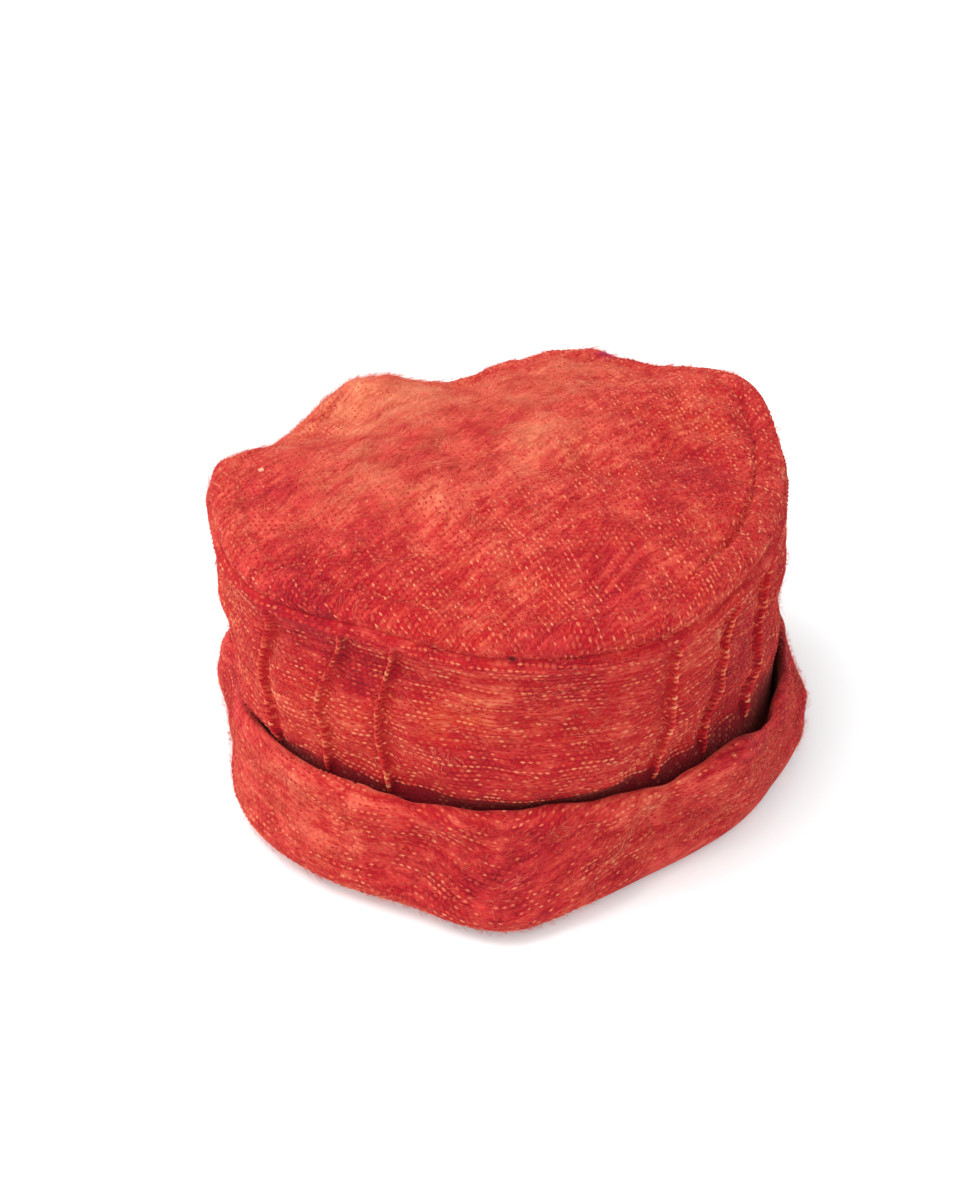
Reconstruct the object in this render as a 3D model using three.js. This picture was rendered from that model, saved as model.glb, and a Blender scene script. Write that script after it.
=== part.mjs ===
// A soft woven wool hat: a round crown sewn to a tall side band with groups of pin-tucks,
// and a loose brim of the same cloth, rolled up against the band.
// Millimetres, +Z up. The hat's front faces -Y, and it stands on the flat underside of its brim.
import * as THREE from "three";
import { mergeVertices } from "three/addons/utils/BufferGeometryUtils.js";

// The cloth and how it is sewn.
const clothThickness = 2.2;
const sewnGap = 0.3; // left between two pieces where a seam joins them
const seamAllowance = 9; // turned under along the edge of the crown, where it shows as a low border
const borderStep = 0.9; // how far that border stands above the rest of the crown
const edgeRoll = 2.4; // width over which the crown's edge turns down into the seam

// The head opening and the band.
const headRadius = 91; // inside the band's foot, before the outline's hollows
const bandFootHeight = 18; // where the band's lower edge is sewn to the brim, above the floor
const bandHeight = 80;
const beadReach = 2; // the fold along the band's top edge, just under the seam
const beadHeight = 7;

// The crown's loose dome.
const crownRise = 13;

// The pin-tucks.
const tuckHeight = 3;
const tuckWidth = 3.2;
const tuckFade = 7; // height over which a tuck runs out, just above the brim's crevice

// The rolled brim.
const rollReach = 16; // how far the roll stands out from the band
const rollHeight = 38;
const rollHeel = 2.4; // radius of the turn from the band's line out along the floor
const rollToe = 8; // height of the turn from the floor up into the outer wall
const rollTop = 7; // height of the turn from the outer wall over to the band
const rollBelly = 0.6; // how far the outer wall bulges between those two turns
const rollHollow = 1.2; // least room inside the roll, between its outer wall and its tucked edge
const rollLip = 9; // height of the curve from the top of the roll down to its tucked edge
const lipFoot = 15; // where the tucked edge ends, above the floor
const creviceWidth = 0.8; // between the tucked edge and the band, where they lie closest

// How finely the surfaces are cut.
const bandColumns = 60;
const brimColumns = 64;
const bandRows = 9;
const bandLiningRows = 4;

// The crown's edge, a row for each corner and hollow of the seam. Angles are in degrees from the
// hat's front towards +X, reach is a share of the band's outer radius, and lift a share of the
// band's height.
const seamLine = [
  { angle: -148, reach: 0.985, lift: -0.06 },
  { angle: -128, reach: 0.95, lift: -0.1 },
  { angle: -114, reach: 0.97, lift: -0.1 },
  { angle: -102, reach: 1.06, lift: -0.03 },
  { angle: -84, reach: 1.04, lift: -0.01 },
  { angle: -60, reach: 1.045, lift: 0.0 },
  { angle: -32, reach: 0.95, lift: 0.01 },
  { angle: -8, reach: 0.985, lift: 0.0 },
  { angle: 26, reach: 1.015, lift: 0.0 },
  { angle: 52, reach: 0.98, lift: 0.0 },
  { angle: 78, reach: 0.99, lift: -0.01 },
  { angle: 100, reach: 1.05, lift: 0.01 },
  { angle: 117, reach: 1.1, lift: 0.06 },
  { angle: 139, reach: 1.02, lift: 0.0 },
  { angle: 158, reach: 0.99, lift: 0.01 },
  { angle: 172, reach: 0.97, lift: -0.06 },
  { angle: -170, reach: 0.93, lift: -0.13 },
];

// The band's lower edge, where it meets the brim.
const footLine = [
  { angle: -135, reach: 1.0 },
  { angle: -92, reach: 0.995 },
  { angle: -60, reach: 1.0 },
  { angle: -30, reach: 0.955 },
  { angle: 0, reach: 0.945 },
  { angle: 25, reach: 0.945 },
  { angle: 51, reach: 0.98 },
  { angle: 85, reach: 1.03 },
  { angle: 115, reach: 1.04 },
  { angle: 150, reach: 1.0 },
  { angle: 180, reach: 0.985 },
];

// Ridges and hollows of the crown. Reach is a share of the way from the middle to the edge,
// along and across are the fold's half-lengths as shares of the band's outer radius, heading is
// the turn of its long side away from the radius, and rise is a share of crownRise.
const crownFolds = [
  { angle: 124, reach: 0.8, along: 0.34, across: 0.14, heading: 0, rise: 0.26 },
  { angle: 95, reach: 0.72, along: 0.3, across: 0.14, heading: 12, rise: -0.18 },
  { angle: -102, reach: 0.85, along: 0.28, across: 0.14, heading: 0, rise: 0.22 },
  { angle: -122, reach: 0.82, along: 0.2, across: 0.16, heading: 0, rise: -0.3 },
  { angle: -148, reach: 0.85, along: 0.22, across: 0.14, heading: 0, rise: 0.26 },
  { angle: -172, reach: 0.8, along: 0.2, across: 0.18, heading: 20, rise: -0.3 },
  { angle: 165, reach: 0.5, along: 0.3, across: 0.25, heading: 0, rise: 0.25 },
  { angle: -70, reach: 0.45, along: 0.3, across: 0.12, heading: -25, rise: 0.16 },
  { angle: -25, reach: 0.62, along: 0.28, across: 0.1, heading: 60, rise: -0.16 },
  { angle: 35, reach: 0.6, along: 0.3, across: 0.14, heading: 70, rise: 0.12 },
];

// Bulges and hollows of the band. Level is a share of the band's height, wide is a half-width in
// degrees, tall a share of the band's height, and swell a share of rollReach.
const bandFolds = [
  { angle: 8, level: 0.46, wide: 26, tall: 0.13, swell: 0.26 },
  { angle: 45, level: 0.4, wide: 15, tall: 0.14, swell: -0.18 },
  { angle: 84, level: 0.72, wide: 14, tall: 0.16, swell: 0.14 },
  { angle: -45, level: 0.55, wide: 22, tall: 0.22, swell: 0.12 },
  { angle: -85, level: 0.62, wide: 14, tall: 0.2, swell: 0.2 },
  { angle: -105, level: 0.4, wide: 14, tall: 0.12, swell: -0.12 },
  { angle: 140, level: 0.5, wide: 25, tall: 0.2, swell: 0.2 },
  { angle: 180, level: 0.45, wide: 18, tall: 0.16, swell: -0.15 },
  { angle: -145, level: 0.55, wide: 20, tall: 0.2, swell: 0.15 },
];

// The pin-tucks, a row each, in four groups of three. Top and foot are the sideways drift of the
// tuck's ends, in degrees.
const pinTucks = [
  { angle: -151, top: -3, foot: -1 },
  { angle: -136, top: -3, foot: -2 },
  { angle: -120, top: -2, foot: -1 },
  { angle: -59, top: 4, foot: 1.5 },
  { angle: -43.5, top: 5.5, foot: 0 },
  { angle: -31, top: 4, foot: 2 },
  { angle: 30, top: 0, foot: -2 },
  { angle: 45, top: 2, foot: -3 },
  { angle: 60.5, top: 3, foot: -3 },
  { angle: 120, top: 2, foot: 3 },
  { angle: 135, top: 2, foot: 4 },
  { angle: 151, top: 1, foot: 3 },
];

// The brim's sections. Reach and crest say how far the roll stands out at its foot and at its top,
// as shares of rollReach, height is a share of rollHeight, and crevice counts creviceWidth.
const rollSections = [
  { angle: -140, reach: 0.85, crest: 0.6, height: 0.96, crevice: 1.5 },
  { angle: -100, reach: 0.62, crest: 0.5, height: 0.93, crevice: 1.4 },
  { angle: -80, reach: 0.42, crest: 0.4, height: 0.93, crevice: 1.2 },
  { angle: -58, reach: 0.95, crest: 0.6, height: 1.0, crevice: 2.0 },
  { angle: -38, reach: 1.12, crest: 0.72, height: 1.02, crevice: 1.6 },
  { angle: -22, reach: 1.15, crest: 0.68, height: 1.0, crevice: 1.2 },
  { angle: -5, reach: 1.65, crest: 0.72, height: 1.0, crevice: 1.0 },
  { angle: 9, reach: 1.14, crest: 0.66, height: 1.0, crevice: 1.6 },
  { angle: 24, reach: 0.72, crest: 0.62, height: 1.0, crevice: 2.4 },
  { angle: 40, reach: 0.62, crest: 0.6, height: 1.0, crevice: 3.2 },
  { angle: 58, reach: 0.62, crest: 0.58, height: 1.0, crevice: 3.6 },
  { angle: 77, reach: 0.8, crest: 0.44, height: 0.97, crevice: 1.6 },
  { angle: 93, reach: 0.82, crest: 0.38, height: 0.92, crevice: 1.0 },
  { angle: 140, reach: 0.8, crest: 0.55, height: 0.95, crevice: 2.0 },
  { angle: 180, reach: 0.95, crest: 0.65, height: 1.0, crevice: 1.2 },
];

const footRadius = headRadius + clothThickness;
const seamHeight = bandFootHeight + bandHeight;
const radians = THREE.MathUtils.degToRad;
const { lerp, smoothstep } = THREE.MathUtils;

// Degrees from b to a the short way round.
function turnBetween(a, b) {
  return THREE.MathUtils.euclideanModulo(a - b + 180, 360) - 180;
}

// A table's column at an angle: a smooth closed curve through its rows.
function around(table, column, angle) {
  const rows = [...table].sort((a, b) => a.angle - b.angle);
  const count = rows.length;
  let at = rows.findLastIndex((row) => row.angle <= turnBetween(angle, 0));
  at = at < 0 ? count - 1 : at;
  const [before, here, next, after] = [-1, 0, 1, 2].map((step) => rows[(at + step + count) % count]);
  const span = THREE.MathUtils.euclideanModulo(next.angle - here.angle, 360);
  const share = THREE.MathUtils.euclideanModulo(angle - here.angle, 360) / span;
  const slopeOver = (from, to) =>
    (to[column] - from[column]) / THREE.MathUtils.euclideanModulo(to.angle - from.angle, 360);
  const startSlope = slopeOver(before, next) * span;
  const endSlope = slopeOver(here, after) * span;
  const square = share * share;
  const cube = square * share;
  return (
    (2 * cube - 3 * square + 1) * here[column] +
    (cube - 2 * square + share) * startSlope +
    (3 * square - 2 * cube) * next[column] +
    (cube - square) * endSlope
  );
}

// A round bump that is 1 in its middle and dies away past its half-width.
function bump(distance) {
  return Math.exp(-distance * distance);
}

function seamRadiusAt(angle) {
  return footRadius * around(seamLine, "reach", angle);
}

function seamHeightAt(angle) {
  return seamHeight + bandHeight * around(seamLine, "lift", angle);
}

function footRadiusAt(angle) {
  return footRadius * around(footLine, "reach", angle);
}

function pointAt(angle, radius, height) {
  return new THREE.Vector3(radius * Math.sin(radians(angle)), -radius * Math.cos(radians(angle)), height);
}

// How far the crown's folds lift it at a place, given as an angle and a share of the way out.
function crownFoldLift(angle, share) {
  const place = pointAt(angle, share, 0);
  return crownFolds.reduce((sum, fold) => {
    const away = place.clone().sub(pointAt(fold.angle, fold.reach, 0));
    away.applyAxisAngle(new THREE.Vector3(0, 0, 1), -radians(fold.angle + fold.heading));
    return sum + fold.rise * crownRise * bump(away.y / fold.along) * bump(away.x / fold.across);
  }, 0);
}

// The crown's outer face: the edge's height, the dome, its folds, the border over the seam
// allowance and the turn down into the seam.
function crownPoint(angle, share) {
  const radius = seamRadiusAt(angle);
  const fromEdge = radius * (1 - share);
  const edgeHeight = lerp(seamHeight, seamHeightAt(angle), share * share);
  const inside = 1 - share ** 4;
  const border = borderStep * smoothstep(seamAllowance - fromEdge, -borderStep, borderStep);
  const turned = 1 - Math.min(1, fromEdge / edgeRoll);
  const edgeDrop = (1 - Math.sqrt(1 - turned * turned)) * edgeRoll;
  const dome = crownRise * (1 - share * share) + crownFoldLift(angle, share) * Math.sqrt(inside);
  return pointAt(angle, radius * share, edgeHeight + dome + border - edgeDrop + clothThickness + edgeRoll);
}

function crownShares() {
  const middle = [0.16, 0.32, 0.47, 0.6, 0.71, 0.81];
  const border = [seamAllowance + borderStep, seamAllowance - borderStep, edgeRoll * 1.6];
  const edge = [edgeRoll * 0.6, edgeRoll * 0.15];
  return [...middle, ...[...border, ...edge].map((width) => 1 - width / footRadius), 1];
}

// Sideways drift of the band's cloth, which carries the tucks' ends along.
function clothDrift(angle, level) {
  const atTop = around(pinTucks, "top", angle) * smoothstep(level, 0.5, 1);
  return atTop + around(pinTucks, "foot", angle) * (1 - smoothstep(level, 0.15, 0.6));
}

// The height of a tuck's ridge over the band, given the cloth's own angle and its height.
function tuckRise(angle, height) {
  const fade = smoothstep(height, rollHeight - tuckFade * 0.6, rollHeight + tuckFade * 0.4);
  const halfWidth = THREE.MathUtils.radToDeg(tuckWidth / 2 / footRadius);
  return pinTucks.reduce((most, tuck) => {
    const off = Math.abs(turnBetween(angle, tuck.angle)) / halfWidth;
    return Math.max(most, off < 1 ? fade * tuckHeight * Math.sqrt(1 - off * off) : 0);
  }, 0);
}

function bandFoldSwell(angle, level) {
  return bandFolds.reduce((sum, fold) => {
    const sideways = bump(turnBetween(angle, fold.angle) / fold.wide);
    return sum + fold.swell * rollReach * sideways * bump((level - fold.level) / fold.tall);
  }, 0);
}

// A point of the band. Level runs from 0 at its lower edge to 1 at the seam.
function bandPoint(clothAngle, level, outside) {
  const angle = clothAngle + clothDrift(clothAngle, level);
  const top = seamHeightAt(angle);
  const height = lerp(bandFootHeight, top, level);
  const clearOfBrim = smoothstep(height, rollHeight * 0.8, rollHeight * 1.35);
  const line = lerp(footRadiusAt(angle), seamRadiusAt(angle), clearOfBrim * level ** 1.2);
  const swell = bandFoldSwell(angle, level) * clearOfBrim * (1 - level ** 6);
  const bead = beadReach * Math.sin(Math.PI * Math.max(0, 1 - (top - height) / beadHeight));
  const ridge = outside ? tuckRise(clothAngle, height) * (1 - smoothstep(level, 0.93, 0.985)) : 0;
  const inset = outside ? 0 : clothThickness;
  return pointAt(angle, line + swell + bead + ridge - inset, height);
}

// The cloth's angles at which the crown and the band are cut: even steps, and more at each tuck,
// given as shares of its half-width.
function clothStations(tuckCuts) {
  const halfWidth = THREE.MathUtils.radToDeg(tuckWidth / 2 / footRadius);
  const tucks = pinTucks.map((tuck) => tuck.angle);
  const steps = Array.from({ length: bandColumns }, (_, i) => (i * 360) / bandColumns - 180);
  const plain = steps.filter((step) => tucks.every((tuck) => Math.abs(turnBetween(step, tuck)) > halfWidth * 1.6));
  const across = tucks.flatMap((tuck) => tuckCuts.map((cut) => tuck + cut * halfWidth));
  return [...plain, ...across].map((angle) => turnBetween(angle, 0)).sort((a, b) => a - b);
}

function bandLevels(rows) {
  const beadFoot = 1 - beadHeight / bandHeight;
  const even = Array.from({ length: rows + 1 }, (_, i) => (i / rows) * beadFoot);
  return [...even, (beadFoot + 1) / 2, 1];
}

// Points along a quarter of an ellipse about a centre, from one angle to the next, in degrees.
function quarterTurn(centre, wide, tall, from, steps) {
  return Array.from({ length: steps }, (_, i) => {
    const turn = radians(from + (90 * (i + 1)) / steps);
    return new THREE.Vector2(centre.x + wide * Math.cos(turn), centre.y + tall * Math.sin(turn));
  });
}

// The middle of the brim's cloth in one section, x outwards from the band's outer face and y up:
// down from the band, out along the floor, up and over, and down again into the crevice.
function rollPath(angle) {
  const half = clothThickness / 2;
  const lip = half + creviceWidth * around(rollSections, "crevice", angle);
  const least = lip + clothThickness + rollHollow;
  const toe = Math.max(least, rollReach * around(rollSections, "reach", angle) - half);
  const shoulder = Math.max(least, rollReach * around(rollSections, "crest", angle) - half);
  const top = rollHeight * around(rollSections, "height", angle) - half;
  const heel = new THREE.Vector2(rollHeel - half, rollHeel + half);
  const floorEnd = lerp(heel.x, toe, 0.35);
  const wallFoot = new THREE.Vector2(toe, half + rollToe);
  const wallTop = new THREE.Vector2(shoulder, top - rollTop);
  const belly = wallFoot.clone().lerp(wallTop, 0.5).add(new THREE.Vector2(rollBelly, 0));
  const crest = (shoulder + lip) / 2;
  return [
    new THREE.Vector2(-half, bandFootHeight - sewnGap),
    new THREE.Vector2(-half, heel.y),
    ...quarterTurn(heel, rollHeel, rollHeel, 180, 2),
    new THREE.Vector2(floorEnd, half),
    ...quarterTurn(new THREE.Vector2(floorEnd, wallFoot.y), toe - floorEnd, rollToe, 270, 4),
    belly,
    wallTop,
    ...quarterTurn(new THREE.Vector2(crest, wallTop.y), shoulder - crest, rollTop, 0, 3),
    ...quarterTurn(new THREE.Vector2(crest, top - rollLip), crest - lip, rollLip, 90, 3),
    new THREE.Vector2(lip, lipFoot),
  ];
}

// The closed outline of a strip of cloth whose middle follows a path, with both its faces
// parallel to the path.
function stripAround(path) {
  const across = path.slice(1).map((point, i) => {
    const along = point.clone().sub(path[i]).normalize();
    return new THREE.Vector2(along.y, -along.x);
  });
  const offsets = path.map((_, i) => {
    const [before, after] = [across[Math.max(i - 1, 0)], across[Math.min(i, across.length - 1)]];
    const middle = before.clone().add(after).normalize();
    return middle.multiplyScalar(clothThickness / 2 / middle.dot(after));
  });
  const outside = path.map((point, i) => point.clone().add(offsets[i]));
  const inside = path.map((point, i) => point.clone().sub(offsets[i]));
  return [...outside, ...inside.reverse()];
}

// A mesh from columns of points that run round the hat. Closed columns make a ring, and open ones
// meet in the middle, at the points in poles.
function meshFromColumns(name, material, columns, poles) {
  const rows = columns[0].length;
  const points = columns.flat();
  const faces = [];
  const index = (column, row) => (column % columns.length) * rows + (row % rows);
  const lastRow = poles ? rows - 1 : rows;
  columns.forEach((_, column) => {
    for (let row = 0; row < lastRow; row += 1) {
      const [a, b] = [index(column, row), index(column, row + 1)];
      const [c, d] = [index(column + 1, row + 1), index(column + 1, row)];
      faces.push(a, c, b, a, d, c);
    }
    if (poles) {
      faces.push(points.length, index(column + 1, 0), index(column, 0));
      faces.push(points.length + 1, index(column, rows - 1), index(column + 1, rows - 1));
    }
  });
  const geometry = new THREE.BufferGeometry().setFromPoints(poles ? [...points, ...poles] : points);
  geometry.setIndex(faces);
  const merged = mergeVertices(geometry);
  merged.computeVertexNormals();
  const mesh = new THREE.Mesh(merged, material);
  mesh.name = name;
  return mesh;
}

function makeCrown(material) {
  const shares = crownShares();
  const rimShare = 1 - clothThickness / footRadius;
  const liningShares = [...shares.filter((share, i) => i % 2 === 1 && share < rimShare), rimShare];
  const lower = new THREE.Vector3(0, 0, clothThickness);
  const columns = clothStations([-1, 1]).map((clothAngle) => {
    const angle = clothAngle + clothDrift(clothAngle, 1);
    const seat = seamHeightAt(angle) + sewnGap;
    const lining = liningShares.map((share) => crownPoint(angle, share).sub(lower));
    const rim = [rimShare, 1].map((share) => crownPoint(angle, share).setZ(seat));
    const face = shares.map((share) => crownPoint(angle, share));
    return [...lining, ...rim, ...face.reverse()];
  });
  const middle = crownPoint(0, 0);
  return meshFromColumns("crown", material, columns, [middle.clone().sub(lower), middle]);
}

function makeBand(material) {
  const columns = clothStations([-1, -0.75, 0, 0.75, 1]).map((angle) => {
    const face = bandLevels(bandRows).map((level) => bandPoint(angle, level, true));
    const lining = bandLevels(bandLiningRows).map((level) => bandPoint(angle, level, false));
    return [...face, ...lining.reverse()];
  });
  return meshFromColumns("side_band", material, columns);
}

function makeBrim(material) {
  const columns = Array.from({ length: brimColumns }, (_, i) => {
    const angle = (i * 360) / brimColumns - 180;
    return stripAround(rollPath(angle)).map(({ x, y }) => pointAt(angle, footRadiusAt(angle) + x, y));
  });
  return meshFromColumns("rolled_brim", material, columns);
}

// The brushed red and orange wool cloth of every piece.
function woolCloth(colour) {
  return new THREE.MeshStandardMaterial({ color: colour, roughness: 0.95, metalness: 0 });
}

const hat = new THREE.Group();
hat.add(makeCrown(woolCloth(0xd4553f)), makeBand(woolCloth(0xc9403a)), makeBrim(woolCloth(0xcb4339)));

// The origin is under the middle of the hat, on the surface that it stands on.
const bounds = new THREE.Box3().setFromObject(hat);
const middle = bounds.getCenter(new THREE.Vector3());
hat.children.forEach((piece) => piece.position.set(-middle.x, -middle.y, -bounds.min.z));

export default hat;
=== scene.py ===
# A soft hat of hand-woven wool, dressed round its frame: crown, side band and rolled brim.
import math

import bpy
import numpy as np
from mathutils import Matrix, Vector


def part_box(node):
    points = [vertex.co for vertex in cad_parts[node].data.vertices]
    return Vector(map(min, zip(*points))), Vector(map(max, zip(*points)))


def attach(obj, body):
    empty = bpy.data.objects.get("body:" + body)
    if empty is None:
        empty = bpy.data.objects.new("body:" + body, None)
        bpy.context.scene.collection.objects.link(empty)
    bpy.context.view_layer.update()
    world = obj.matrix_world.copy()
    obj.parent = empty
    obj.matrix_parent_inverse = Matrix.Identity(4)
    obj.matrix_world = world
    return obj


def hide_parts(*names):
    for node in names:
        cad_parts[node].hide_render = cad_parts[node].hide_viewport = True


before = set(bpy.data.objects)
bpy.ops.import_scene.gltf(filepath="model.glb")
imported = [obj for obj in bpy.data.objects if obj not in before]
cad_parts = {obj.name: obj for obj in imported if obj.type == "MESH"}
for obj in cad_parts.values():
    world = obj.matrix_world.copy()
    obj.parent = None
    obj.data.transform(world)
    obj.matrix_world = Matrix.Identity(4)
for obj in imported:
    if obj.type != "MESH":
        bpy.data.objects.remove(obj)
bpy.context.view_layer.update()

mm = 0.001

# The cloth, and how it is woven and sewn.
cloth = {
    "thickness": 2.2 * mm,
    "rowPitch": 1.8 * mm,
    "yarnPitch": 2.15 * mm,
    "wander": 0.4,  # how far rows and yarns stray, in rows
    "paintedShade": 1.8,  # painted shade: how much darker and more crimson the colour is made where no light gets to it
    "slot": "wool_cloth",
    "body": "root",
}

# The head opening and the heights of the seams.
head = {"radius": 91 * mm, "bandFoot": 18 * mm, "bandHeight": 80 * mm}
footRadius = head["radius"] + cloth["thickness"]
seamHeight = head["bandFoot"] + head["bandHeight"]

# The crown's edge. Angles are in degrees from the front towards +X, reach is a share of the band's
# outer radius and lift a share of the band's height.
seamLine = {
    "angle": [-148, -128, -114, -102, -84, -60, -32, -8, 26, 52, 78, 100, 117, 139, 158, 172, -170],
    "reach": [0.985, 0.95, 0.97, 1.06, 1.04, 1.045, 0.95, 0.985, 1.015, 0.98, 0.99, 1.05, 1.1, 1.02,
              0.99, 0.97, 0.93],
    "lift": [-0.06, -0.1, -0.1, -0.03, 0, 0, 0.01, 0, 0, 0, -0.01, 0.03, 0.085, 0.01, 0.01, -0.06, -0.13],
}

# How deep the crown's seam and the stitched line inside its edge lie, and how far the edge's soft
# roll reaches in, in millimetres.
seamLook = {
    "angle": [-150, -105, -65, -40, -15, 10, 35, 55, 75, 100, 130, 175],
    "groove": [1.3, 1.1, 0.4, 0.3, 0.5, 0.7, 0.9, 1.4, 1.6, 1.5, 1.3, 1.3],
    "border": [0.7, 0.8, 1.0, 1.2, 0.7, 0.6, 1.2, 2.7, 3.0, 2.2, 1.0, 0.7],
    "softness": [5, 2.4, 5, 8, 8, 7.5, 7, 5.5, 4, 2.6, 2.6, 5],
}

# The band's lower edge.
footLine = {
    "angle": [-135, -92, -60, -30, 0, 25, 51, 85, 115, 150, 180],
    "reach": [1, 0.965, 0.985, 0.955, 0.945, 0.945, 0.98, 1.03, 1.04, 1, 0.985],
}


# Degrees from b to a the short way round.
def turnBetween(a, b):
    return (np.asarray(a, float) - b + 180) % 360 - 180


def smooth(value, low, high):
    share = np.clip((np.asarray(value, float) - low) / (high - low), 0, 1)
    return share * share * (3 - 2 * share)


def bump(distance):
    return np.exp(-distance * distance)


def unit(vectors):
    return vectors / np.linalg.norm(vectors, axis=-1, keepdims=True)


# Two lengths at right angles, as they read along axes turned by some radians.
def rotated(x, y, turn):
    return x * np.cos(turn) + y * np.sin(turn), y * np.cos(turn) - x * np.sin(turn)


# A table's column at any angle: a smooth closed curve through its rows.
def around(table, column, angle):
    order = np.argsort(table["angle"])
    knots = np.array(table["angle"], float)[order]
    values = np.array(table[column], float)[order]
    turned = turnBetween(angle, 0)
    here = (np.searchsorted(knots, turned, side="right") - 1) % len(knots)
    before, after, last = [(here + step) % len(knots) for step in (-1, 1, 2)]
    span = (knots[after] - knots[here]) % 360
    t = (turned - knots[here]) % 360 / span
    startSlope = (values[after] - values[before]) / ((knots[after] - knots[before]) % 360) * span
    endSlope = (values[last] - values[here]) / ((knots[last] - knots[here]) % 360) * span
    return (
        (2 * t**3 - 3 * t**2 + 1) * values[here]
        + (t**3 - 2 * t**2 + t) * startSlope
        + (3 * t**2 - 2 * t**3) * values[after]
        + (t**3 - t**2) * endSlope
    )


def seamRadiusAt(angle):
    return footRadius * around(seamLine, "reach", angle)


def seamHeightAt(angle):
    return seamHeight + head["bandHeight"] * around(seamLine, "lift", angle)


def footRadiusAt(angle):
    return footRadius * around(footLine, "reach", angle)


def pointAt(angle, radius, height):
    angle, radius, height = np.broadcast_arrays(np.radians(angle), radius, height)
    return np.stack([radius * np.sin(angle), -radius * np.cos(angle), height], axis=-1)


# A smooth random field over space, from about -1 to 1, with swells of one size.
def ripple(points, size, seed, waves=16):
    dice = np.random.default_rng(seed)
    total = np.zeros(points.shape[:-1])
    for _ in range(waves):
        heading = dice.normal(size=3)
        heading *= 2 * math.pi / (size * dice.uniform(0.8, 1.8) * np.linalg.norm(heading))
        total += np.sin(points @ heading + dice.uniform(0, 2 * math.pi))
    return total / math.sqrt(waves / 2)


# The broad and the fine unevenness of a piece's cloth.
def unevenAt(points, piece):
    broad = ripple(points, piece["broadSwell"], piece["seed"])
    fine = ripple(points, piece["fineSwell"], piece["seed"] + 1)
    return piece["unevenness"] * (broad + piece["fineShare"] * fine)


# The groove of the seam that closes a piece's ring, and the swell of the cloth beside it.
def joinDip(fromJoin, beside, piece):
    swell = bump((beside - piece["joinSwellAt"]) / piece["joinSwellWidth"])
    return piece["joinDepth"] * (bump(fromJoin / piece["joinWidth"]) - piece["joinSwell"] * swell)


# Shapes: the crown

crown = {
    "rise": 13 * mm,
    "allowance": 9 * mm,  # turned under along the edge
    "borderStep": 0.9 * mm,
    "borderSoftness": 1.2 * mm,
    "edgeDrop": 3.3 * mm,  # of the soft roll, which ends at its foot above the seam
    "edgeFoot": 1.3 * mm,
    "tuckUnder": 0.6 * mm,
    "stitchPitch": 4.2 * mm,
    "stitchInset": 0.8 * mm,  # of the stitched line, from the allowance's end
    "stitchWidth": 1.1 * mm,
    "unevenness": 0.6 * mm,
    "broadSwell": 24 * mm,
    "fineSwell": 10 * mm,
    "fineShare": 0.5,
    "seed": 3,
    "calmEdge": 12 * mm,  # how far in from the edge the cloth lies smoother
    "pucker": 0.35 * mm,
    "puckerSize": 9 * mm,
    "puckerSeed": 5,
    "bareEdge": 0.3 * mm,  # left without floats and fibres
    "columns": 420,
    "rings": 84,
    "liningRings": 14,
    "rowHeading": -67,  # of the weave's rows, in degrees from +X
    "napHeading": 38,
}

# Ridges and hollows. Reach is a share of the way out, along and across are half-lengths as shares of
# the band's outer radius, heading turns the long side off the radius, rise is a share of the rise.
crownFolds = {
    "angle": [124, 95, -102, -122, -148, -172, 165, -70, -25, 35, 108, 84, -60, -40, 12, 62],
    "reach": [0.8, 0.72, 0.85, 0.82, 0.85, 0.8, 0.5, 0.45, 0.62, 0.6, 0.66, 0.86, 0.8, 0.8, 0.82, 0.78],
    "along": [0.34, 0.3, 0.28, 0.2, 0.22, 0.2, 0.3, 0.3, 0.28, 0.3, 0.3, 0.2, 0.16, 0.14, 0.2, 0.16],
    "across": [0.14, 0.14, 0.14, 0.16, 0.14, 0.18, 0.25, 0.12, 0.1, 0.14, 0.05, 0.06, 0.07, 0.06, 0.08,
               0.06],
    "heading": [0, 12, 0, 0, 0, 20, 0, -25, 60, 70, 8, -30, 20, -30, 80, 50],
    "rise": [0.26, -0.18, 0.22, -0.3, 0.26, -0.3, 0.25, 0.16, -0.16, 0.12, 0.09, -0.07, -0.09, 0.06,
             -0.05, 0.06],
}


def crownFoldLift(angle, share):
    place = pointAt(angle, share, 0.0)
    lift = 0
    for i, foldAngle in enumerate(crownFolds["angle"]):
        fold = {name: column[i] for name, column in crownFolds.items()}
        away = place - pointAt(foldAngle, fold["reach"], 0.0)
        turn = math.radians(foldAngle + fold["heading"])
        wide, long = rotated(away[..., 0], away[..., 1], turn)
        lift = lift + fold["rise"] * bump(long / fold["along"]) * bump(wide / fold["across"])
    return lift * crown["rise"]


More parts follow.
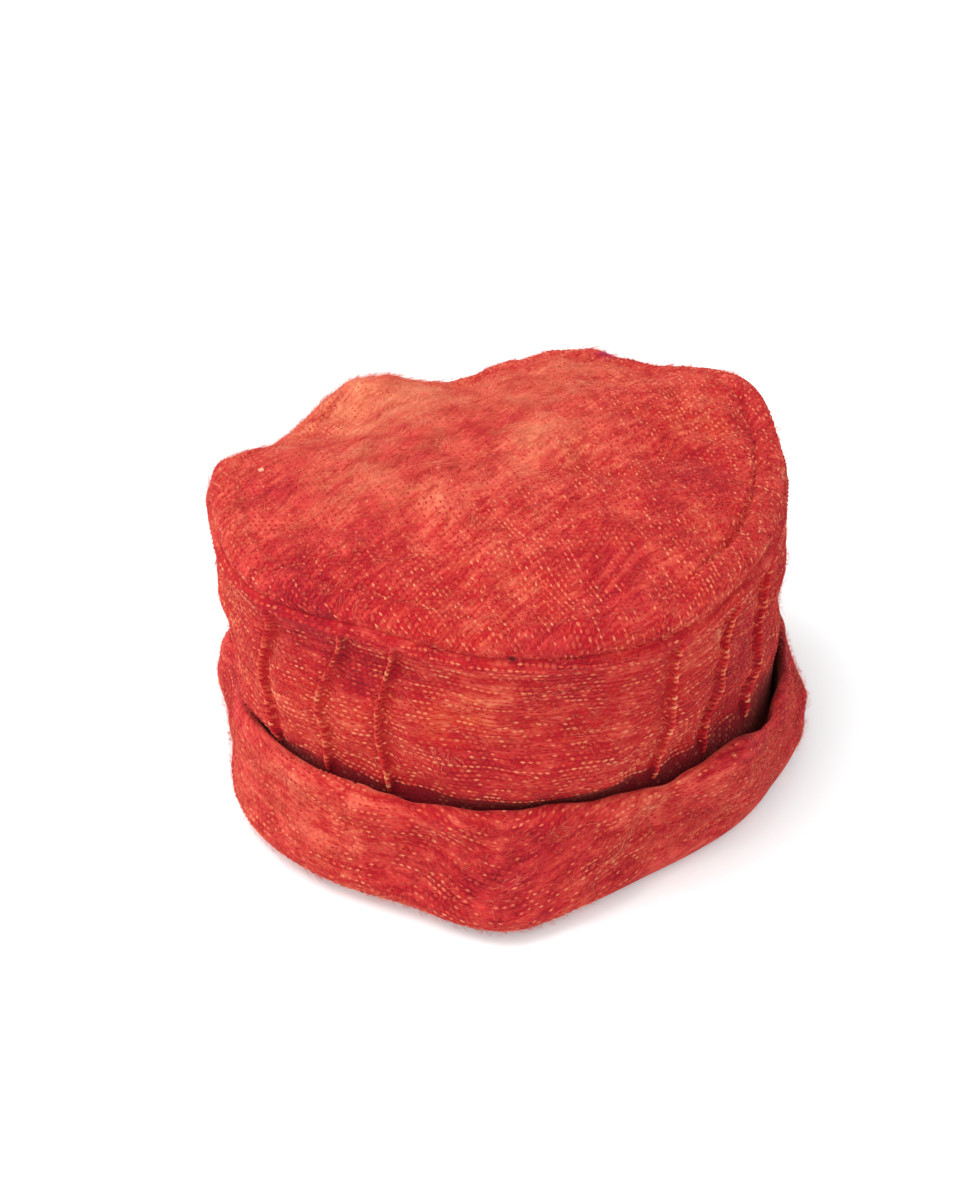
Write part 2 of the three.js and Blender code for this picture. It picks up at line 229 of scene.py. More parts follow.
# The crown's outer face, at an angle and a share of the way out to its edge.
def crownFace(angle, share):
    radius = seamRadiusAt(angle)
    fromEdge = radius * (1 - share)
    edgeHeight = seamHeight + (seamHeightAt(angle) - seamHeight) * share**2
    soft = crown["borderSoftness"]
    border = crown["borderStep"] * smooth(crown["allowance"] - fromEdge, -soft, soft)
    rolled = 1 - np.minimum(1, fromEdge / (around(seamLook, "softness", angle) * mm))
    edgeDrop = (1 - np.sqrt(1 - rolled**2)) * crown["edgeDrop"]
    dome = crown["rise"] * (1 - share**2) + crownFoldLift(angle, share) * np.sqrt(1 - share**4)
    flat = pointAt(angle, radius * share, seamHeight)
    arc = np.radians(angle) * radius
    stitchPull = 0.7 + 0.3 * np.cos(2 * math.pi * arc / crown["stitchPitch"])
    borderDip = around(seamLook, "border", angle) * mm
    fromStitch = fromEdge - crown["allowance"] - crown["stitchInset"]
    stitched = borderDip * bump(fromStitch / crown["stitchWidth"]) * stitchPull
    uneven = unevenAt(flat, crown) * smooth(fromEdge, 0, crown["calmEdge"])
    pulled = ripple(pointAt(angle, seamHeight, share * 0), crown["puckerSize"], crown["puckerSeed"])
    puckers = crown["pucker"] * pulled * bump(fromEdge / crown["puckerSize"]) * smooth(fromEdge, 0, 3 * mm)
    height = edgeHeight + dome + border - edgeDrop + crown["edgeFoot"] + crown["edgeDrop"]
    return pointAt(angle, radius * share, height - stitched + uneven + puckers)


# Shapes: the side band and its pin-tucks

sideBand = {
    "beadReach": 2 * mm,
    "beadMiddle": 3.4 * mm,  # below the seam
    "beadWidth": 2.7 * mm,
    "swellRise": 5 * mm,  # of the swell over the crevice, above the roll
    "swellHeight": 6.5 * mm,
    "unevenness": 0.55 * mm,
    "broadSwell": 22 * mm,
    "fineSwell": 9 * mm,
    "fineShare": 0.4,
    "seed": 11,
    "columns": 400,
    "rows": 84,
    "liningRows": 12,
    "joinDepth": 0.7 * mm,  # of the seam that closes the band at the back
    "joinWidth": 0.8 * mm,
    "joinSwell": 0.4,
    "joinSwellAt": 3 * mm,
    "joinSwellWidth": 2 * mm,
    "comesOut": (-2 * mm, 5 * mm),  # where its face comes into the light, from the roll's height
}

# How far the band swells over the crevice just above the roll, in millimetres.
footSwell = {
    "angle": [-160, -125, -95, -78, -66, -58, -51, -44, -36.5, -29.5, -23, -12, 4, 18, 23, 28, 35, 42,
              49.5, 57.5, 66, 78, 105, 135, 165],
    "swell": [2.0, 1.6, 2.6, 3.2, 3.2, 2.0, 0.3, 0.6, -0.8, 0.4, -1.4, 1.4, 2.6, 2.2, -0.6, 0.4, -2.8,
              -0.2, -3.0, -0.4, -1.4, 0.8, 3.0, 2.0, 2.0],
}

# A row for each bulge or hollow. Level is a share of the band's height, wide is in degrees, tall a
# share of the height and swell a share of the brim's reach.
bandFolds = {
    "angle": [8, 45, 84, -45, -85, -105, 140, 180, -145, -10, 22, -51, -37, 37, 53, 68],
    "level": [0.46, 0.4, 0.72, 0.55, 0.62, 0.4, 0.5, 0.45, 0.55, 0.72, 0.7, 0.5, 0.62, 0.55, 0.45, 0.6],
    "wide": [26, 15, 14, 22, 14, 14, 25, 18, 20, 12, 10, 4.5, 4.5, 5, 5, 5],
    "tall": [0.13, 0.14, 0.16, 0.22, 0.2, 0.12, 0.2, 0.16, 0.2, 0.07, 0.06, 0.24, 0.24, 0.26, 0.26, 0.26],
    "swell": [0.26, -0.18, 0.14, 0.12, 0.2, -0.12, 0.2, -0.15, 0.15, -0.05, 0.04, 0.06, 0.05, 0.05, 0.05,
              0.04],
}

# Top and foot are the drift of a tuck's ends, in degrees, and lean is the side its easy slope is on.
pinTucks = {
    "angle": [-151, -136, -120, -59, -43.5, -31, 30, 45, 60.5, 120, 135, 151],
    "top": [-3, -3, -2, 4, 5.5, 4, 0, 2, 3, 2, 2, 1],
    "foot": [-1, -2, -1, 1.5, 0, 2, -2, -3, -3, 3, 4, 3],
    "lean": [1, 1, 1, -1, -1, -1, 1, 1, 1, -1, -1, -1],
}
tuck = {
    "height": 1.4 * mm,
    "width": 1.5 * mm,
    "fade": 7 * mm,
    "topFade": (0.92, 0.98),  # the levels between which it runs out below the seam
    "slope": 0.7 * mm,  # how high the cloth stays on the easy side
    "slopeWidth": 5 * mm,
    "hollow": 1.5 * mm,  # how deep it sinks on the steep side
    "hollowWidth": 3.0 * mm,
    "sway": 0.3 * mm,
    "yarnThickness": 1.2 * mm,  # of the yarns that cross the ridge, one for each row
    "yarnTilt": 0.7 * mm,  # how far each one slants
    "yarnRows": (10, 42),
    "yarnReach": 0.78,  # as a share of half the ridge's width
    "yarnFlatness": 0.75,
    "yarnShares": [0.12, 0.34, 0.3, 0.2, 0.04],  # of each dye lot, from crimson to straw
    "bareShare": 0.45,  # of the ridge's width to each side, left without floats
}

# Shapes: the rolled brim

brim = {
    "reach": 16 * mm,
    "height": 38 * mm,
    "heel": 2.4 * mm,
    "toe": 8 * mm,
    "top": 7 * mm,
    "belly": 0.6 * mm,
    "hollow": 1.2 * mm,
    "lip": 9 * mm,
    "lipFoot": 15 * mm,
    "crevice": 0.8 * mm,
    "sewnGap": 0.3 * mm,
    "unevenness": 0.9 * mm,
    "broadSwell": 30 * mm,
    "fineSwell": 11 * mm,
    "fineShare": 0.4,
    "seed": 21,
    "columns": 440,
    "rows": 104,
    "liningRows": 26,
    "joinAngle": -35,  # of the short seam that closes the brim's ring
    "joinLean": 6,  # degrees that it drifts from the top of the roll to the floor
    "joinDepth": 0.8 * mm,
    "joinWidth": 0.7 * mm,
    "joinSwell": 0.5,
    "joinSwellAt": 3 * mm,
    "joinSwellWidth": 2.5 * mm,
    "comesOut": (17 * mm, 23 * mm),  # where its face comes into the light, from the cloth's end
    "bareEnd": 25 * mm,  # of the cloth, in the crevice, left without floats so that its painted shade shows unbroken
    "napEnd": 30 * mm,  # left without fibres
}

# The brim's sections: how far it stands out at its foot and its top, its height and its crevice.
rollSections = {
    "angle": [-140, -100, -80, -58, -38, -22, -5, 9, 24, 40, 58, 77, 93, 140, 180],
    "reach": [0.85, 0.62, 0.42, 0.95, 1.12, 1.15, 1.65, 1.14, 0.72, 0.62, 0.62, 0.8, 0.82, 0.8, 0.95],
    "crest": [0.6, 0.5, 0.4, 0.6, 0.72, 0.68, 0.72, 0.66, 0.62, 0.6, 0.58, 0.44, 0.38, 0.55, 0.65],
    "height": [0.96, 0.93, 0.93, 1, 1.02, 1, 1, 1, 1, 1, 1, 0.97, 0.92, 0.95, 1],
    "crevice": [1.2, 0.3, 0.25, 0.3, 1.1, 1.8, 0.8, 1.6, 3.0, 5.6, 6.0, 2.2, 0.7, 1.2, 1],
}

# Dents and swells of the brim's wall: level is a share of its height and swell is in brim reaches.
brimFolds = {
    "angle": [-70, -52, -28, -12, 4, 20, 36, 52, 70, 100, 128, 160, -165, -125, -95],
    "level": [0.75, 0.5, 0.8, 0.45, 0.7, 0.5, 0.75, 0.45, 0.65, 0.5, 0.7, 0.5, 0.7, 0.5, 0.7],
    "wide": [7, 8, 6, 8, 7, 8, 7, 8, 8, 10, 9, 9, 10, 9, 8],
    "tall": [0.3, 0.3, 0.25, 0.3, 0.25, 0.3, 0.25, 0.3, 0.3, 0.3, 0.3, 0.3, 0.3, 0.3, 0.3],
    "swell": [0.07, -0.06, 0.05, -0.06, 0.05, -0.05, 0.05, -0.05, 0.06, -0.07, 0.06, -0.06, 0.06, -0.06,
              0.05],
}


def clothDrift(angle, level):
    atTop = around(pinTucks, "top", angle) * smooth(level, 0.6, 1)
    sway = np.sin(level * 17 + np.radians(angle) * 7) * math.degrees(tuck["sway"] / footRadius)
    return atTop + around(pinTucks, "foot", angle) * (1 - smooth(level, 0.2, 0.52)) + sway


# How far the tucks lift the band: a narrow ridge, steep on one side and easy on the other.
def tuckRelief(clothAngle, height, level):
    foot = brim["height"] - tuck["fade"] * 0.6
    shown = smooth(height, foot, foot + tuck["fade"]) * (1 - smooth(level, *tuck["topFade"]))
    half = tuck["width"] / 2
    relief = 0
    for angle, lean in zip(pinTucks["angle"], pinTucks["lean"]):
        off = np.radians(turnBetween(clothAngle, angle)) * footRadius * lean
        ridge = tuck["height"] * np.sqrt(np.clip(1 - (off / half) ** 2, 0, 1))
        easy = tuck["slope"] * bump((off - half) / tuck["slopeWidth"]) * (off > 0)
        sunk = tuck["hollow"] * bump((off + half * 1.9) / tuck["hollowWidth"])
        relief = relief + np.maximum(ridge, easy) - sunk * (1 - bump(off / half))
    return relief * shown


def foldSwell(folds, angle, level):
    swell = 0
    for i, foldAngle in enumerate(folds["angle"]):
        sideways = bump(turnBetween(angle, foldAngle) / folds["wide"][i])
        swell = swell + folds["swell"][i] * sideways * bump((level - folds["level"][i]) / folds["tall"][i])
    return swell * brim["reach"]


# The band's face or its lining. Level runs from 0 at the lower edge to 1 at the seam.
def bandFace(clothAngle, level, outside=True):
    angle = clothAngle + clothDrift(clothAngle, level)
    top = seamHeightAt(angle)
    height = head["bandFoot"] + (top - head["bandFoot"]) * level
    clear = smooth(height, brim["height"] * 0.8, brim["height"] * 1.35)
    foot = footRadiusAt(angle)
    line = foot + (seamRadiusAt(angle) - foot) * clear * level**1.2
    swell = foldSwell(bandFolds, angle, level) * clear * (1 - level**6)
    aboveRoll = height - brim["height"] - sideBand["swellRise"]
    swell = swell + around(footSwell, "swell", angle) * mm * bump(aboveRoll / sideBand["swellHeight"])
    bead = sideBand["beadReach"] * bump((top - height - sideBand["beadMiddle"]) / sideBand["beadWidth"])
    flat = pointAt(angle, footRadius, height)
    uneven = unevenAt(flat, sideBand) * clear
    fromJoin = np.radians(turnBetween(angle, 180)) * footRadius
    join = joinDip(fromJoin, np.abs(fromJoin), sideBand)
    radius = line + swell + bead + uneven * (1 - level**8)
    if not outside:
        return pointAt(angle, radius - cloth["thickness"], height)
    groove = around(seamLook, "groove", angle) * mm * bump((top - height) / (1.5 * mm))
    return pointAt(angle, radius + tuckRelief(clothAngle, height, level) - groove - join * clear, height)


# Even steps round the band, with finer ones over each tuck.
def bandStations():
    halfWidth = math.degrees(tuck["width"] / 2 / footRadius)
    even = np.linspace(-180, 180, sideBand["columns"], endpoint=False)
    near = np.min(np.abs(turnBetween(even[:, None], np.array(pinTucks["angle"])[None])), axis=1)
    cuts = np.concatenate([[-3, -2.2, -1.6, -1.25], np.linspace(-1, 1, 9), [1.25, 1.6, 2.2, 3]]) * halfWidth
    across = (np.array(pinTucks["angle"])[:, None] + cuts[None]).ravel()
    return np.sort(turnBetween(np.concatenate([even[near > halfWidth * 3.4], across]), 0))


# The middle of the brim's cloth in each section, x outwards from the band and y up: down from the
# band, out along the floor, up, over and down again into the crevice.
def rollPath(angle):
    half = cloth["thickness"] / 2
    none = np.zeros_like(angle)
    lip = half + brim["crevice"] * around(rollSections, "crevice", angle)
    least = lip + cloth["thickness"] + brim["hollow"]
    toe = np.maximum(least, brim["reach"] * around(rollSections, "reach", angle) - half)
    shoulder = np.maximum(least, brim["reach"] * around(rollSections, "crest", angle) - half)
    top = brim["height"] * around(rollSections, "height", angle) - half
    heelX, heelY = brim["heel"] - half, brim["heel"] + half
    floorEnd = heelX + (toe - heelX) * 0.35
    wallTop = top - brim["top"]
    crest = (shoulder + lip) / 2
    path = [(none - half, none + head["bandFoot"] - brim["sewnGap"]), (none - half, none + heelY)]

    def quarter(x, y, wide, tall, start, steps):
        for turn in np.radians(start + 90 * np.arange(1, steps + 1) / steps):
            path.append((x + wide * np.cos(turn), y + tall * np.sin(turn)))

    quarter(none + heelX, none + heelY, brim["heel"], brim["heel"], 180, 5)
    path.append((floorEnd, none + half))
    quarter(floorEnd, none + half + brim["toe"], toe - floorEnd, brim["toe"], 270, 9)
    path.append(((toe + shoulder) / 2 + brim["belly"], (half + brim["toe"] + wallTop) / 2))
    path.append((shoulder, wallTop))
    quarter(crest, wallTop, shoulder - crest, brim["top"], 0, 8)
    quarter(crest, top - brim["lip"], crest - lip, brim["lip"], 90, 8)
    path.append((lip, none + brim["lipFoot"]))
    return np.stack([np.stack(point, axis=-1) for point in path], axis=1)


# Both faces of a strip of cloth whose middle follows a path, each parallel to the path.
def clothStrip(path):
    step = unit(np.diff(path, axis=1))
    across = np.stack([step[..., 1], -step[..., 0]], axis=-1)
    before = np.concatenate([across[:, :1], across], axis=1)
    after = np.concatenate([across, across[:, -1:]], axis=1)
    middle = unit(before + after)
    offset = middle * cloth["thickness"] / 2 / np.sum(middle * after, axis=-1, keepdims=True)
    return path + offset, path - offset


# Points spaced evenly along each section's outline, and how far along each of them lies.
def evenAlong(outline, count):
    lengths = np.linalg.norm(np.diff(outline, axis=1), axis=-1)
    reached = np.concatenate([np.zeros((len(outline), 1)), np.cumsum(lengths, axis=1)], axis=1)
    share = np.linspace(0, 1, count)
    spaced = np.empty((len(outline), count, 2))
    for i, (line, far) in enumerate(zip(outline, reached)):
        for side in (0, 1):
            spaced[i, :, side] = np.interp(share * far[-1], far, line[:, side])
    return spaced, reached[:, -1:] * share


# The brim's outer or inner face at each angle, and how far along the cloth each point lies.
def brimFace(angle, count, outside=True):
    outline, along = evenAlong(clothStrip(rollPath(angle))[0 if outside else 1], count)
    for _ in range(2):  # takes the corners off where straight runs meet arcs
        outline[:, 1:-1] = (outline[:, :-2] + 2 * outline[:, 1:-1] + outline[:, 2:]) / 4
    step = np.gradient(outline, axis=1)
    outward = unit(np.stack([step[..., 1], -step[..., 0]], axis=-1))
    x, y = outline[..., 0], outline[..., 1]
    level = y / brim["height"]
    wall = smooth(level, 0.12, 0.4) * smooth(x, 3.2 * mm, 5.5 * mm)
    spread = angle[:, None] + 0 * level
    flat = pointAt(spread, footRadius + x, y)
    joinLine = brim["joinAngle"] + brim["joinLean"] * (1 - level)
    fromJoin = np.radians(turnBetween(spread, joinLine)) * footRadius
    join = joinDip(fromJoin, fromJoin, brim)
    shift = (unevenAt(flat, brim) + foldSwell(brimFolds, spread, level) - join * outside) * wall
    x = x + outward[..., 0] * shift
    y = np.maximum(y + outward[..., 1] * shift, 0)
    return pointAt(spread, footRadiusAt(spread) + x, y), along


# The frame's origin is under the middle of its box, and the hat is drawn round its own axis.
def axisInFrame():
    angle = np.linspace(-180, 180, 64, endpoint=False)
    outline = clothStrip(rollPath(angle))[0]
    drawn = pointAt(angle[:, None], footRadiusAt(angle)[:, None] + outline[..., 0], outline[..., 1])
    drawn = drawn.reshape(-1, 3)
    low, high = [np.array(corner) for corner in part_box("rolled_brim")]
    return ((low + high) / 2 - (drawn.min(axis=0) + drawn.max(axis=0)) / 2) * [1, 1, 0]


hatAxis = axisInFrame()
print("the hat's axis is at", [round(float(part), 5) for part in hatAxis])


# Colour patches of the hand-dyed cloth, and where the nap hides its weave. Angle, radius and height
# give a place on the hat, in degrees and millimetres; size is in millimetres. Dye, with its painted
# shade, runs from crimson, below 0, to orange, above it. The last five dye patches, at the right of the
# band and brim and the far left of the brim, are partly the cloth's crimson and partly painted shade:
# they darken the right side, which the key light misses, and the far left, which it lights too brightly.
dyeAndShadePatches = {
    "angle": [107, -160, -82, -85, -78, -52, -48, -48, 106, 103, 78, 60, 55, 21, 6, -9, -156, -134, 156,
              -37, -11, -26, 6, -16, -9, -37, -49, 40, 62, -5, -23, -30, -44, 22, 33, 41, -60, 17, -18,
              50, 74, 60, 86, -78],
    "radius": [11, 15, 32, 76, 56, 58, 40, 91, 72, 85, 65, 73, 59, 74, 72, 58, 61, 75, 61,
               90, 90, 89, 94, 90, 92, 91, 94, 94, 96, 107, 104, 101, 105, 98, 99, 99, 105, 101, 100,
               93, 97, 104, 104, 98],
    "height": [116, 116, 115, 108, 112, 111, 113, 104, 110, 106, 108, 107, 110, 107, 108, 110, 107, 101, 112,
               87, 75, 90, 92, 68, 54, 64, 52, 80, 60, 21, 18, 28, 23, 30, 17, 31, 22, 18, 29,
               58, 66, 20, 26, 22],
    "size": [13, 9, 10, 10, 13, 11, 13, 20, 11, 12, 13, 12, 11, 16, 12, 14, 28, 28, 22,
             15, 12, 9, 20, 12, 14, 12, 12, 14, 12, 22, 14, 12, 14, 12, 14, 12, 16, 15, 12,
             20, 22, 26, 20, 22],
    "dyeAndShade": [1.2, -0.9, -0.7, -1.0, 0.5, -0.6, 0.55, -0.8, 0.7, -0.8, -0.7, 0.45, -0.6, -0.5, 0.4, 0.15, 0.8,
            0.8, 0.5, -0.75, 0.55, -0.45, -0.5, 0.3, -0.4, 0.45, 0.35, 0.35, 0.2, -0.8, -0.5, 0.35, 0.0, 0.35,
            -0.5, 0.3, 0.0, -0.5, 0.25, -1.0, -1.0, -1.0, -1.0, -0.9],
}
nappedPlaces = {
    "angle": [-160, -120, -85, -150, 150, 160, -70, -20, -60, -50, -75, 30, 60, 0, 180, -140, 120, -30],
    "radius": [30, 55, 45, 70, 60, 20, 70, 20, 50, 106, 104, 104, 104, 110, 110, 106, 106, 80],
    "height": [115, 110, 112, 105, 112, 115, 108, 115, 111, 22, 25, 18, 18, 14, 20, 22, 22, 109],
    "size": [30, 32, 28, 30, 26, 26, 22, 20, 18, 20, 22, 18, 26, 20, 34, 34, 34, 12],
    "nap": [0.9, 0.9, 0.75, 0.9, 0.7, 0.7, 0.6, 0.55, 0.5, 0.45, 0.7, 0.5, 0.6, 0.35, 0.6, 0.6, 0.6, -0.3],
}


def patchField(table, column, points, seed):
    radius, height = [np.array(table[part]) * mm for part in ("radius", "height")]
    spots = pointAt(np.array(table["angle"], float), radius, height)
    strayed = points + np.stack([ripple(points, 14 * mm, seed + i) for i in range(3)], axis=-1) * 3 * mm
    field = np.zeros(points.shape[:-1])
    for spot, size, amount in zip(spots, table["size"], table[column]):
        field += amount * bump(np.linalg.norm(strayed - spot, axis=-1) / (size * mm))
    return field


# The dye patches, partly the cloth's own crimson and orange and partly painted shade.
def dyeAndShadeAt(points):
    return patchField(dyeAndShadePatches, "dyeAndShade", points, 41)


def napAt(points):
    return patchField(nappedPlaces, "nap", points, 51)


# Where the woven rows and yarns lie, with a little wander, in yarns along a row and in rows.
def strayCells(cells, points):
    along = ripple(points, 30 * mm, 31) * cloth["wander"]
    across = ripple(points, 34 * mm, 32) * cloth["wander"]
    return cells + np.stack([along, across], axis=-1)


yarnsRound = round(2 * math.pi * footRadius / cloth["yarnPitch"])


# The cells of a cloth whose rows run round the hat, at an angle and a length up the cloth.
def ringCells(angle, along):
    u = (np.asarray(angle) + 180) / 360 * yarnsRound
    return np.stack(np.broadcast_arrays(u, along / cloth["rowPitch"]), axis=-1)


def crownCells(points):
    along, across = rotated(points[..., 0], points[..., 1], math.radians(crown["rowHeading"]))
    return np.stack([along / cloth["yarnPitch"], across / cloth["rowPitch"]], axis=-1)


# The middle of every yarn's float: each row steps on by half a yarn.
def floatCells(firstYarn, lastYarn, firstRow, lastRow):
    yarn, row = np.meshgrid(np.arange(firstYarn, lastYarn), np.arange(firstRow, lastRow), indexing="ij")
    return (yarn + 0.5 - 0.5 * (row % 2)).ravel(), (row + 0.5).ravel()


# Each row runs lighter and darker along its length.
def rowStreaks(u, v, seed):
    dice = np.random.default_rng(seed)
    row = np.floor(v).astype(int) % 400
    tone = dice.normal(0, 0.5, 400)[row]
    for length in (8, 21, 50):
        tone = tone + 0.5 * np.sin(u * 2 * math.pi / length + dice.uniform(0, 2 * math.pi, 400)[row])
    return tone


# A grid of points read between its columns, which run round the hat, and its rows.
def readGrid(grid, column, row):
    left = np.floor(column).astype(int)
    low = np.clip(np.floor(row).astype(int), 0, grid.shape[1] - 2)
    s, t = (column - left)[:, None], (row - low)[:, None]
    left = left % grid.shape[0]
    right = (left + 1) % grid.shape[0]
    lower = grid[left, low] * (1 - s) + grid[right, low] * s
    upper = grid[left, low + 1] * (1 - s) + grid[right, low + 1] * s
    return lower * (1 - t) + upper * t


# A length known at each column of such a grid, read between its columns.
def readRound(lengths, column):
    count = len(lengths)
    return np.interp(column % count, np.arange(count + 1), np.append(lengths, lengths[0]))


# The point at some cells of a cloth, its directions along and across the rows, and straight out.
def frameOn(place, u, v):
    along = place(u + 0.3, v) - place(u - 0.3, v)
    across = place(u, v + 0.3) - place(u, v - 0.3)
    out = np.cross(along, across)
    along, out = unit(along), unit(out)
    return place(u, v), along, np.cross(out, along), out


# Cells moved back by the wander of the rows, so that what is placed there lies on them.
def settle(place, u, v):
    movedU, movedV = u, v
    for _ in range(2):
        shift = strayCells(np.zeros((len(u), 2)), place(movedU, movedV))
        movedU, movedV = u - shift[:, 0], v - shift[:, 1]
    return movedU, movedV


# Making meshes

pieces = []


def addObject(name, data):
    made = bpy.data.objects.new(name, data)
    bpy.context.collection.objects.link(made)
    return made


def addPiece(name, mesh, materials):
    for material in materials:
        mesh.materials.append(material)
    piece = addObject(name, mesh)
    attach(piece, cloth["body"])
    pieces.append(piece)
    return piece


# The quads of a grid whose columns run round the hat, with the column and row that each starts at.
# Where it is closed, its last row meets its first.
def gridQuads(columns, rows, closed=False):
    spans = np.arange(rows if closed else rows - 1)
    column, row = [part.ravel() for part in np.meshgrid(np.arange(columns), spans, indexing="ij")]
    after, above = (column + 1) % columns, (row + 1) % rows
    corners = [column * rows + row, after * rows + row, after * rows + above, column * rows + above]
    return column, row, np.stack(corners, axis=-1)


# The triangles between one row of such a grid and a pole.
def poleFan(columns, rows, row, pole):
    ring = np.arange(columns) * rows + row
    return np.stack([np.full(columns, pole), ring, np.roll(ring, -1)], axis=-1)


def meshFrom(name, points, polygons):
    polygons = [np.asarray(group, np.int32) for group in polygons if len(group)]
    corners = np.concatenate([group.ravel() for group in polygons])
    sizes = np.concatenate([np.full(len(group), group.shape[1], np.int32) for group in polygons])
    starts = np.concatenate([[0], np.cumsum(sizes)[:-1]]).astype(np.int32)
    mesh = bpy.data.meshes.new(name)
    mesh.vertices.add(len(points))
    mesh.vertices.foreach_set("co", np.asarray(points + hatAxis, np.float32).ravel())
    mesh.loops.add(len(corners))
    mesh.loops.foreach_set("vertex_index", corners)
    mesh.polygons.add(len(sizes))
    mesh.polygons.foreach_set("loop_start", starts)
    mesh.polygons.foreach_set("loop_total", sizes)
    mesh.polygons.foreach_set("use_smooth", np.full(len(sizes), True))
    mesh.update(calc_edges=True)
    return mesh


def addField(mesh, name, values):
    field = mesh.attributes.new(name, "FLOAT", "POINT")
    field.data.foreach_set("value", np.asarray(values, np.float32).ravel())


# A closed shell from columns of points that run round the hat. Without poles each column is a closed
# loop, and with them it runs from one pole to the other. Faces of the outside rows have the first
# material. The painted shade depth is how deep each point lies out of the light; there the colour is painted
# darker and more crimson and the nap is taken away, as painted shade.
def shell(name, grid, cells, materials, outsideRows, poles=None, paintedShadeDepth=0):
    columns, rows = grid.shape[:2]
    points = grid.reshape(-1, 3)
    column, row, quads = gridQuads(columns, rows, closed=poles is None)
    above = (row + 1) % rows
    uvs = [cells[column, row], cells[column + 1, row], cells[column + 1, above], cells[column, above]]
    uvs = np.stack(uvs, axis=1).reshape(-1, 2)
    groups = [quads]
    slots = np.where((row >= outsideRows[0]) & (row < outsideRows[1]), 0, 1)
    if poles is not None:
        points = np.concatenate([points, poles])
        low = poleFan(columns, rows, 0, columns * rows)[:, [0, 2, 1]]
        high = poleFan(columns, rows, rows - 1, columns * rows + 1)
        groups.append(np.concatenate([low, high]))
        tips = [np.tile(cell, (columns, 1)) for cell in strayCells(crownCells(poles), poles)]
        first, last = cells[:columns, 0], cells[:columns, -1]
        lowUvs = np.stack([tips[0], np.roll(first, -1, axis=0), first], axis=1)
        highUvs = np.stack([tips[1], last, np.roll(last, -1, axis=0)], axis=1)
        uvs = np.concatenate([uvs, lowUvs.reshape(-1, 2), highUvs.reshape(-1, 2)])
        slots = np.concatenate([slots, np.ones(columns, int), np.zeros(columns, int)])
    mesh = meshFrom(name, points, groups)
    mesh.uv_layers.new(name="weave").data.foreach_set("uv", uvs.astype(np.float32).ravel())
    addField(mesh, "dyeAndShade", dyeAndShadeAt(points) - cloth["paintedShade"] * np.ravel(paintedShadeDepth))
    addField(mesh, "nap", napAt(points) - np.ravel(paintedShadeDepth))
    piece = addPiece(name, mesh, materials)
    mesh.polygons.foreach_set("material_index", slots.astype(np.int32))
    return piece


# Many copies of one small closed form as a single mesh, each in its own dye lot. Corners has a row of
# points for each copy, and faces are the form's triangles.
def scatterForm(name, corners, faces, lots, materials):
    count, size = corners.shape[:2]
    triangles = (np.arange(count)[:, None, None] * size + np.array(faces)[None]).reshape(-1, 3)
    mesh = meshFrom(name, corners.reshape(-1, 3), [triangles])
    piece = addPiece(name, mesh, materials)
    mesh.polygons.foreach_set("material_index", np.repeat(lots, len(faces)).astype(np.int32))
    return piece


# Dye lots shared out by tone, from the darkest to the palest.
def lotsByTone(tone, shares):
    return np.searchsorted(np.quantile(tone, np.cumsum(shares)[:-1]), tone)


# Materials

class NodeSheet:  # a node tree with short ways to add and wire its nodes
    def __init__(self, tree):
        self.tree = tree

    def feed(self, socket, value):
        if isinstance(value, bpy.types.NodeSocket):
            self.tree.links.new(value, socket)
        else:
            socket.default_value = value

    def feedAll(self, sockets, values):
        for name, value in values.items():
            self.feed(sockets[name], value)

    def add(self, kind, values=None, **settings):
        made = self.tree.nodes.new(kind)
        for name, value in settings.items():
            setattr(made, name, value)
        self.feedAll(made.inputs, values or {})
        return made

    def calc(self, operation, *values, clamp=False):
        made = self.add("ShaderNodeMath", operation=operation, use_clamp=clamp)
        for socket, value in zip(made.inputs, values):
            self.feed(socket, value)
        return made.outputs[0]

    def noise(self, vector, scale, detail, roughness=0.5):
        values = {"Vector": vector, "Scale": scale, "Detail": detail, "Roughness": roughness}
        return self.add("ShaderNodeTexNoise", values).outputs["Fac"]

    def scaled(self, vector, scale, turn):
        values = {"Vector": vector, "Scale": scale, "Rotation": (0, 0, math.radians(turn))}
        return self.add("ShaderNodeMapping", values, vector_type="POINT").outputs[0]

    def between(self, value, low, high):
        values = {"Value": value, "From Min": low, "From Max": high}
        return self.add("ShaderNodeMapRange", values, interpolation_type="SMOOTHSTEP").outputs[0]

    def blend(self, share, a, b):
        made = self.add("ShaderNodeMix", data_type="RGBA")
        for socket, value in zip([made.inputs[0], made.inputs[6], made.inputs[7]], [share, a, b]):
            self.feed(socket, value)
        return made.outputs[2]

    def ramp(self, value, stops):
        made = self.add("ShaderNodeValToRGB", {"Fac": value})
        elements = made.color_ramp.elements
        while len(elements) < len(stops):
            elements.new(0.5)
        for element, (place, colour) in zip(elements, stops):
            element.position, element.color = place, colour
        return made.outputs["Color"]


# A colour given as red, green and blue of 255.
def dyed(*parts):
    linear = [((part / 255 + 0.055) / 1.055) ** 2.4 if part > 10 else part / 255 / 12.92 for part in parts]
    return (*linear, 1.0)


def newGroup(name, inputs, outputs):
    tree = bpy.data.node_groups.new(name, "ShaderNodeTree")
    for label, kind, value in inputs:
        socket = tree.interface.new_socket(name=label, in_out="INPUT", socket_type=kind)
        if value is not None:
            socket.default_value = value
    for label, kind in outputs:
        tree.interface.new_socket(name=label, in_out="OUTPUT", socket_type=kind)
    sheet = NodeSheet(tree)
    return tree, sheet, sheet.add("NodeGroupInput").outputs, sheet.add("NodeGroupOutput").inputs


# A new material of one surface, with its sheet of nodes and its shader's sockets.
def newMaterial(name, surface):
    material = bpy.data.materials.new(name)
    material.use_nodes = True
    sheet = NodeSheet(material.node_tree)
    shader = material.node_tree.nodes["Principled BSDF"].inputs
    sheet.feedAll(shader, surface)
    return material, sheet, shader


number, vector = "NodeSocketFloat", "NodeSocketVector"


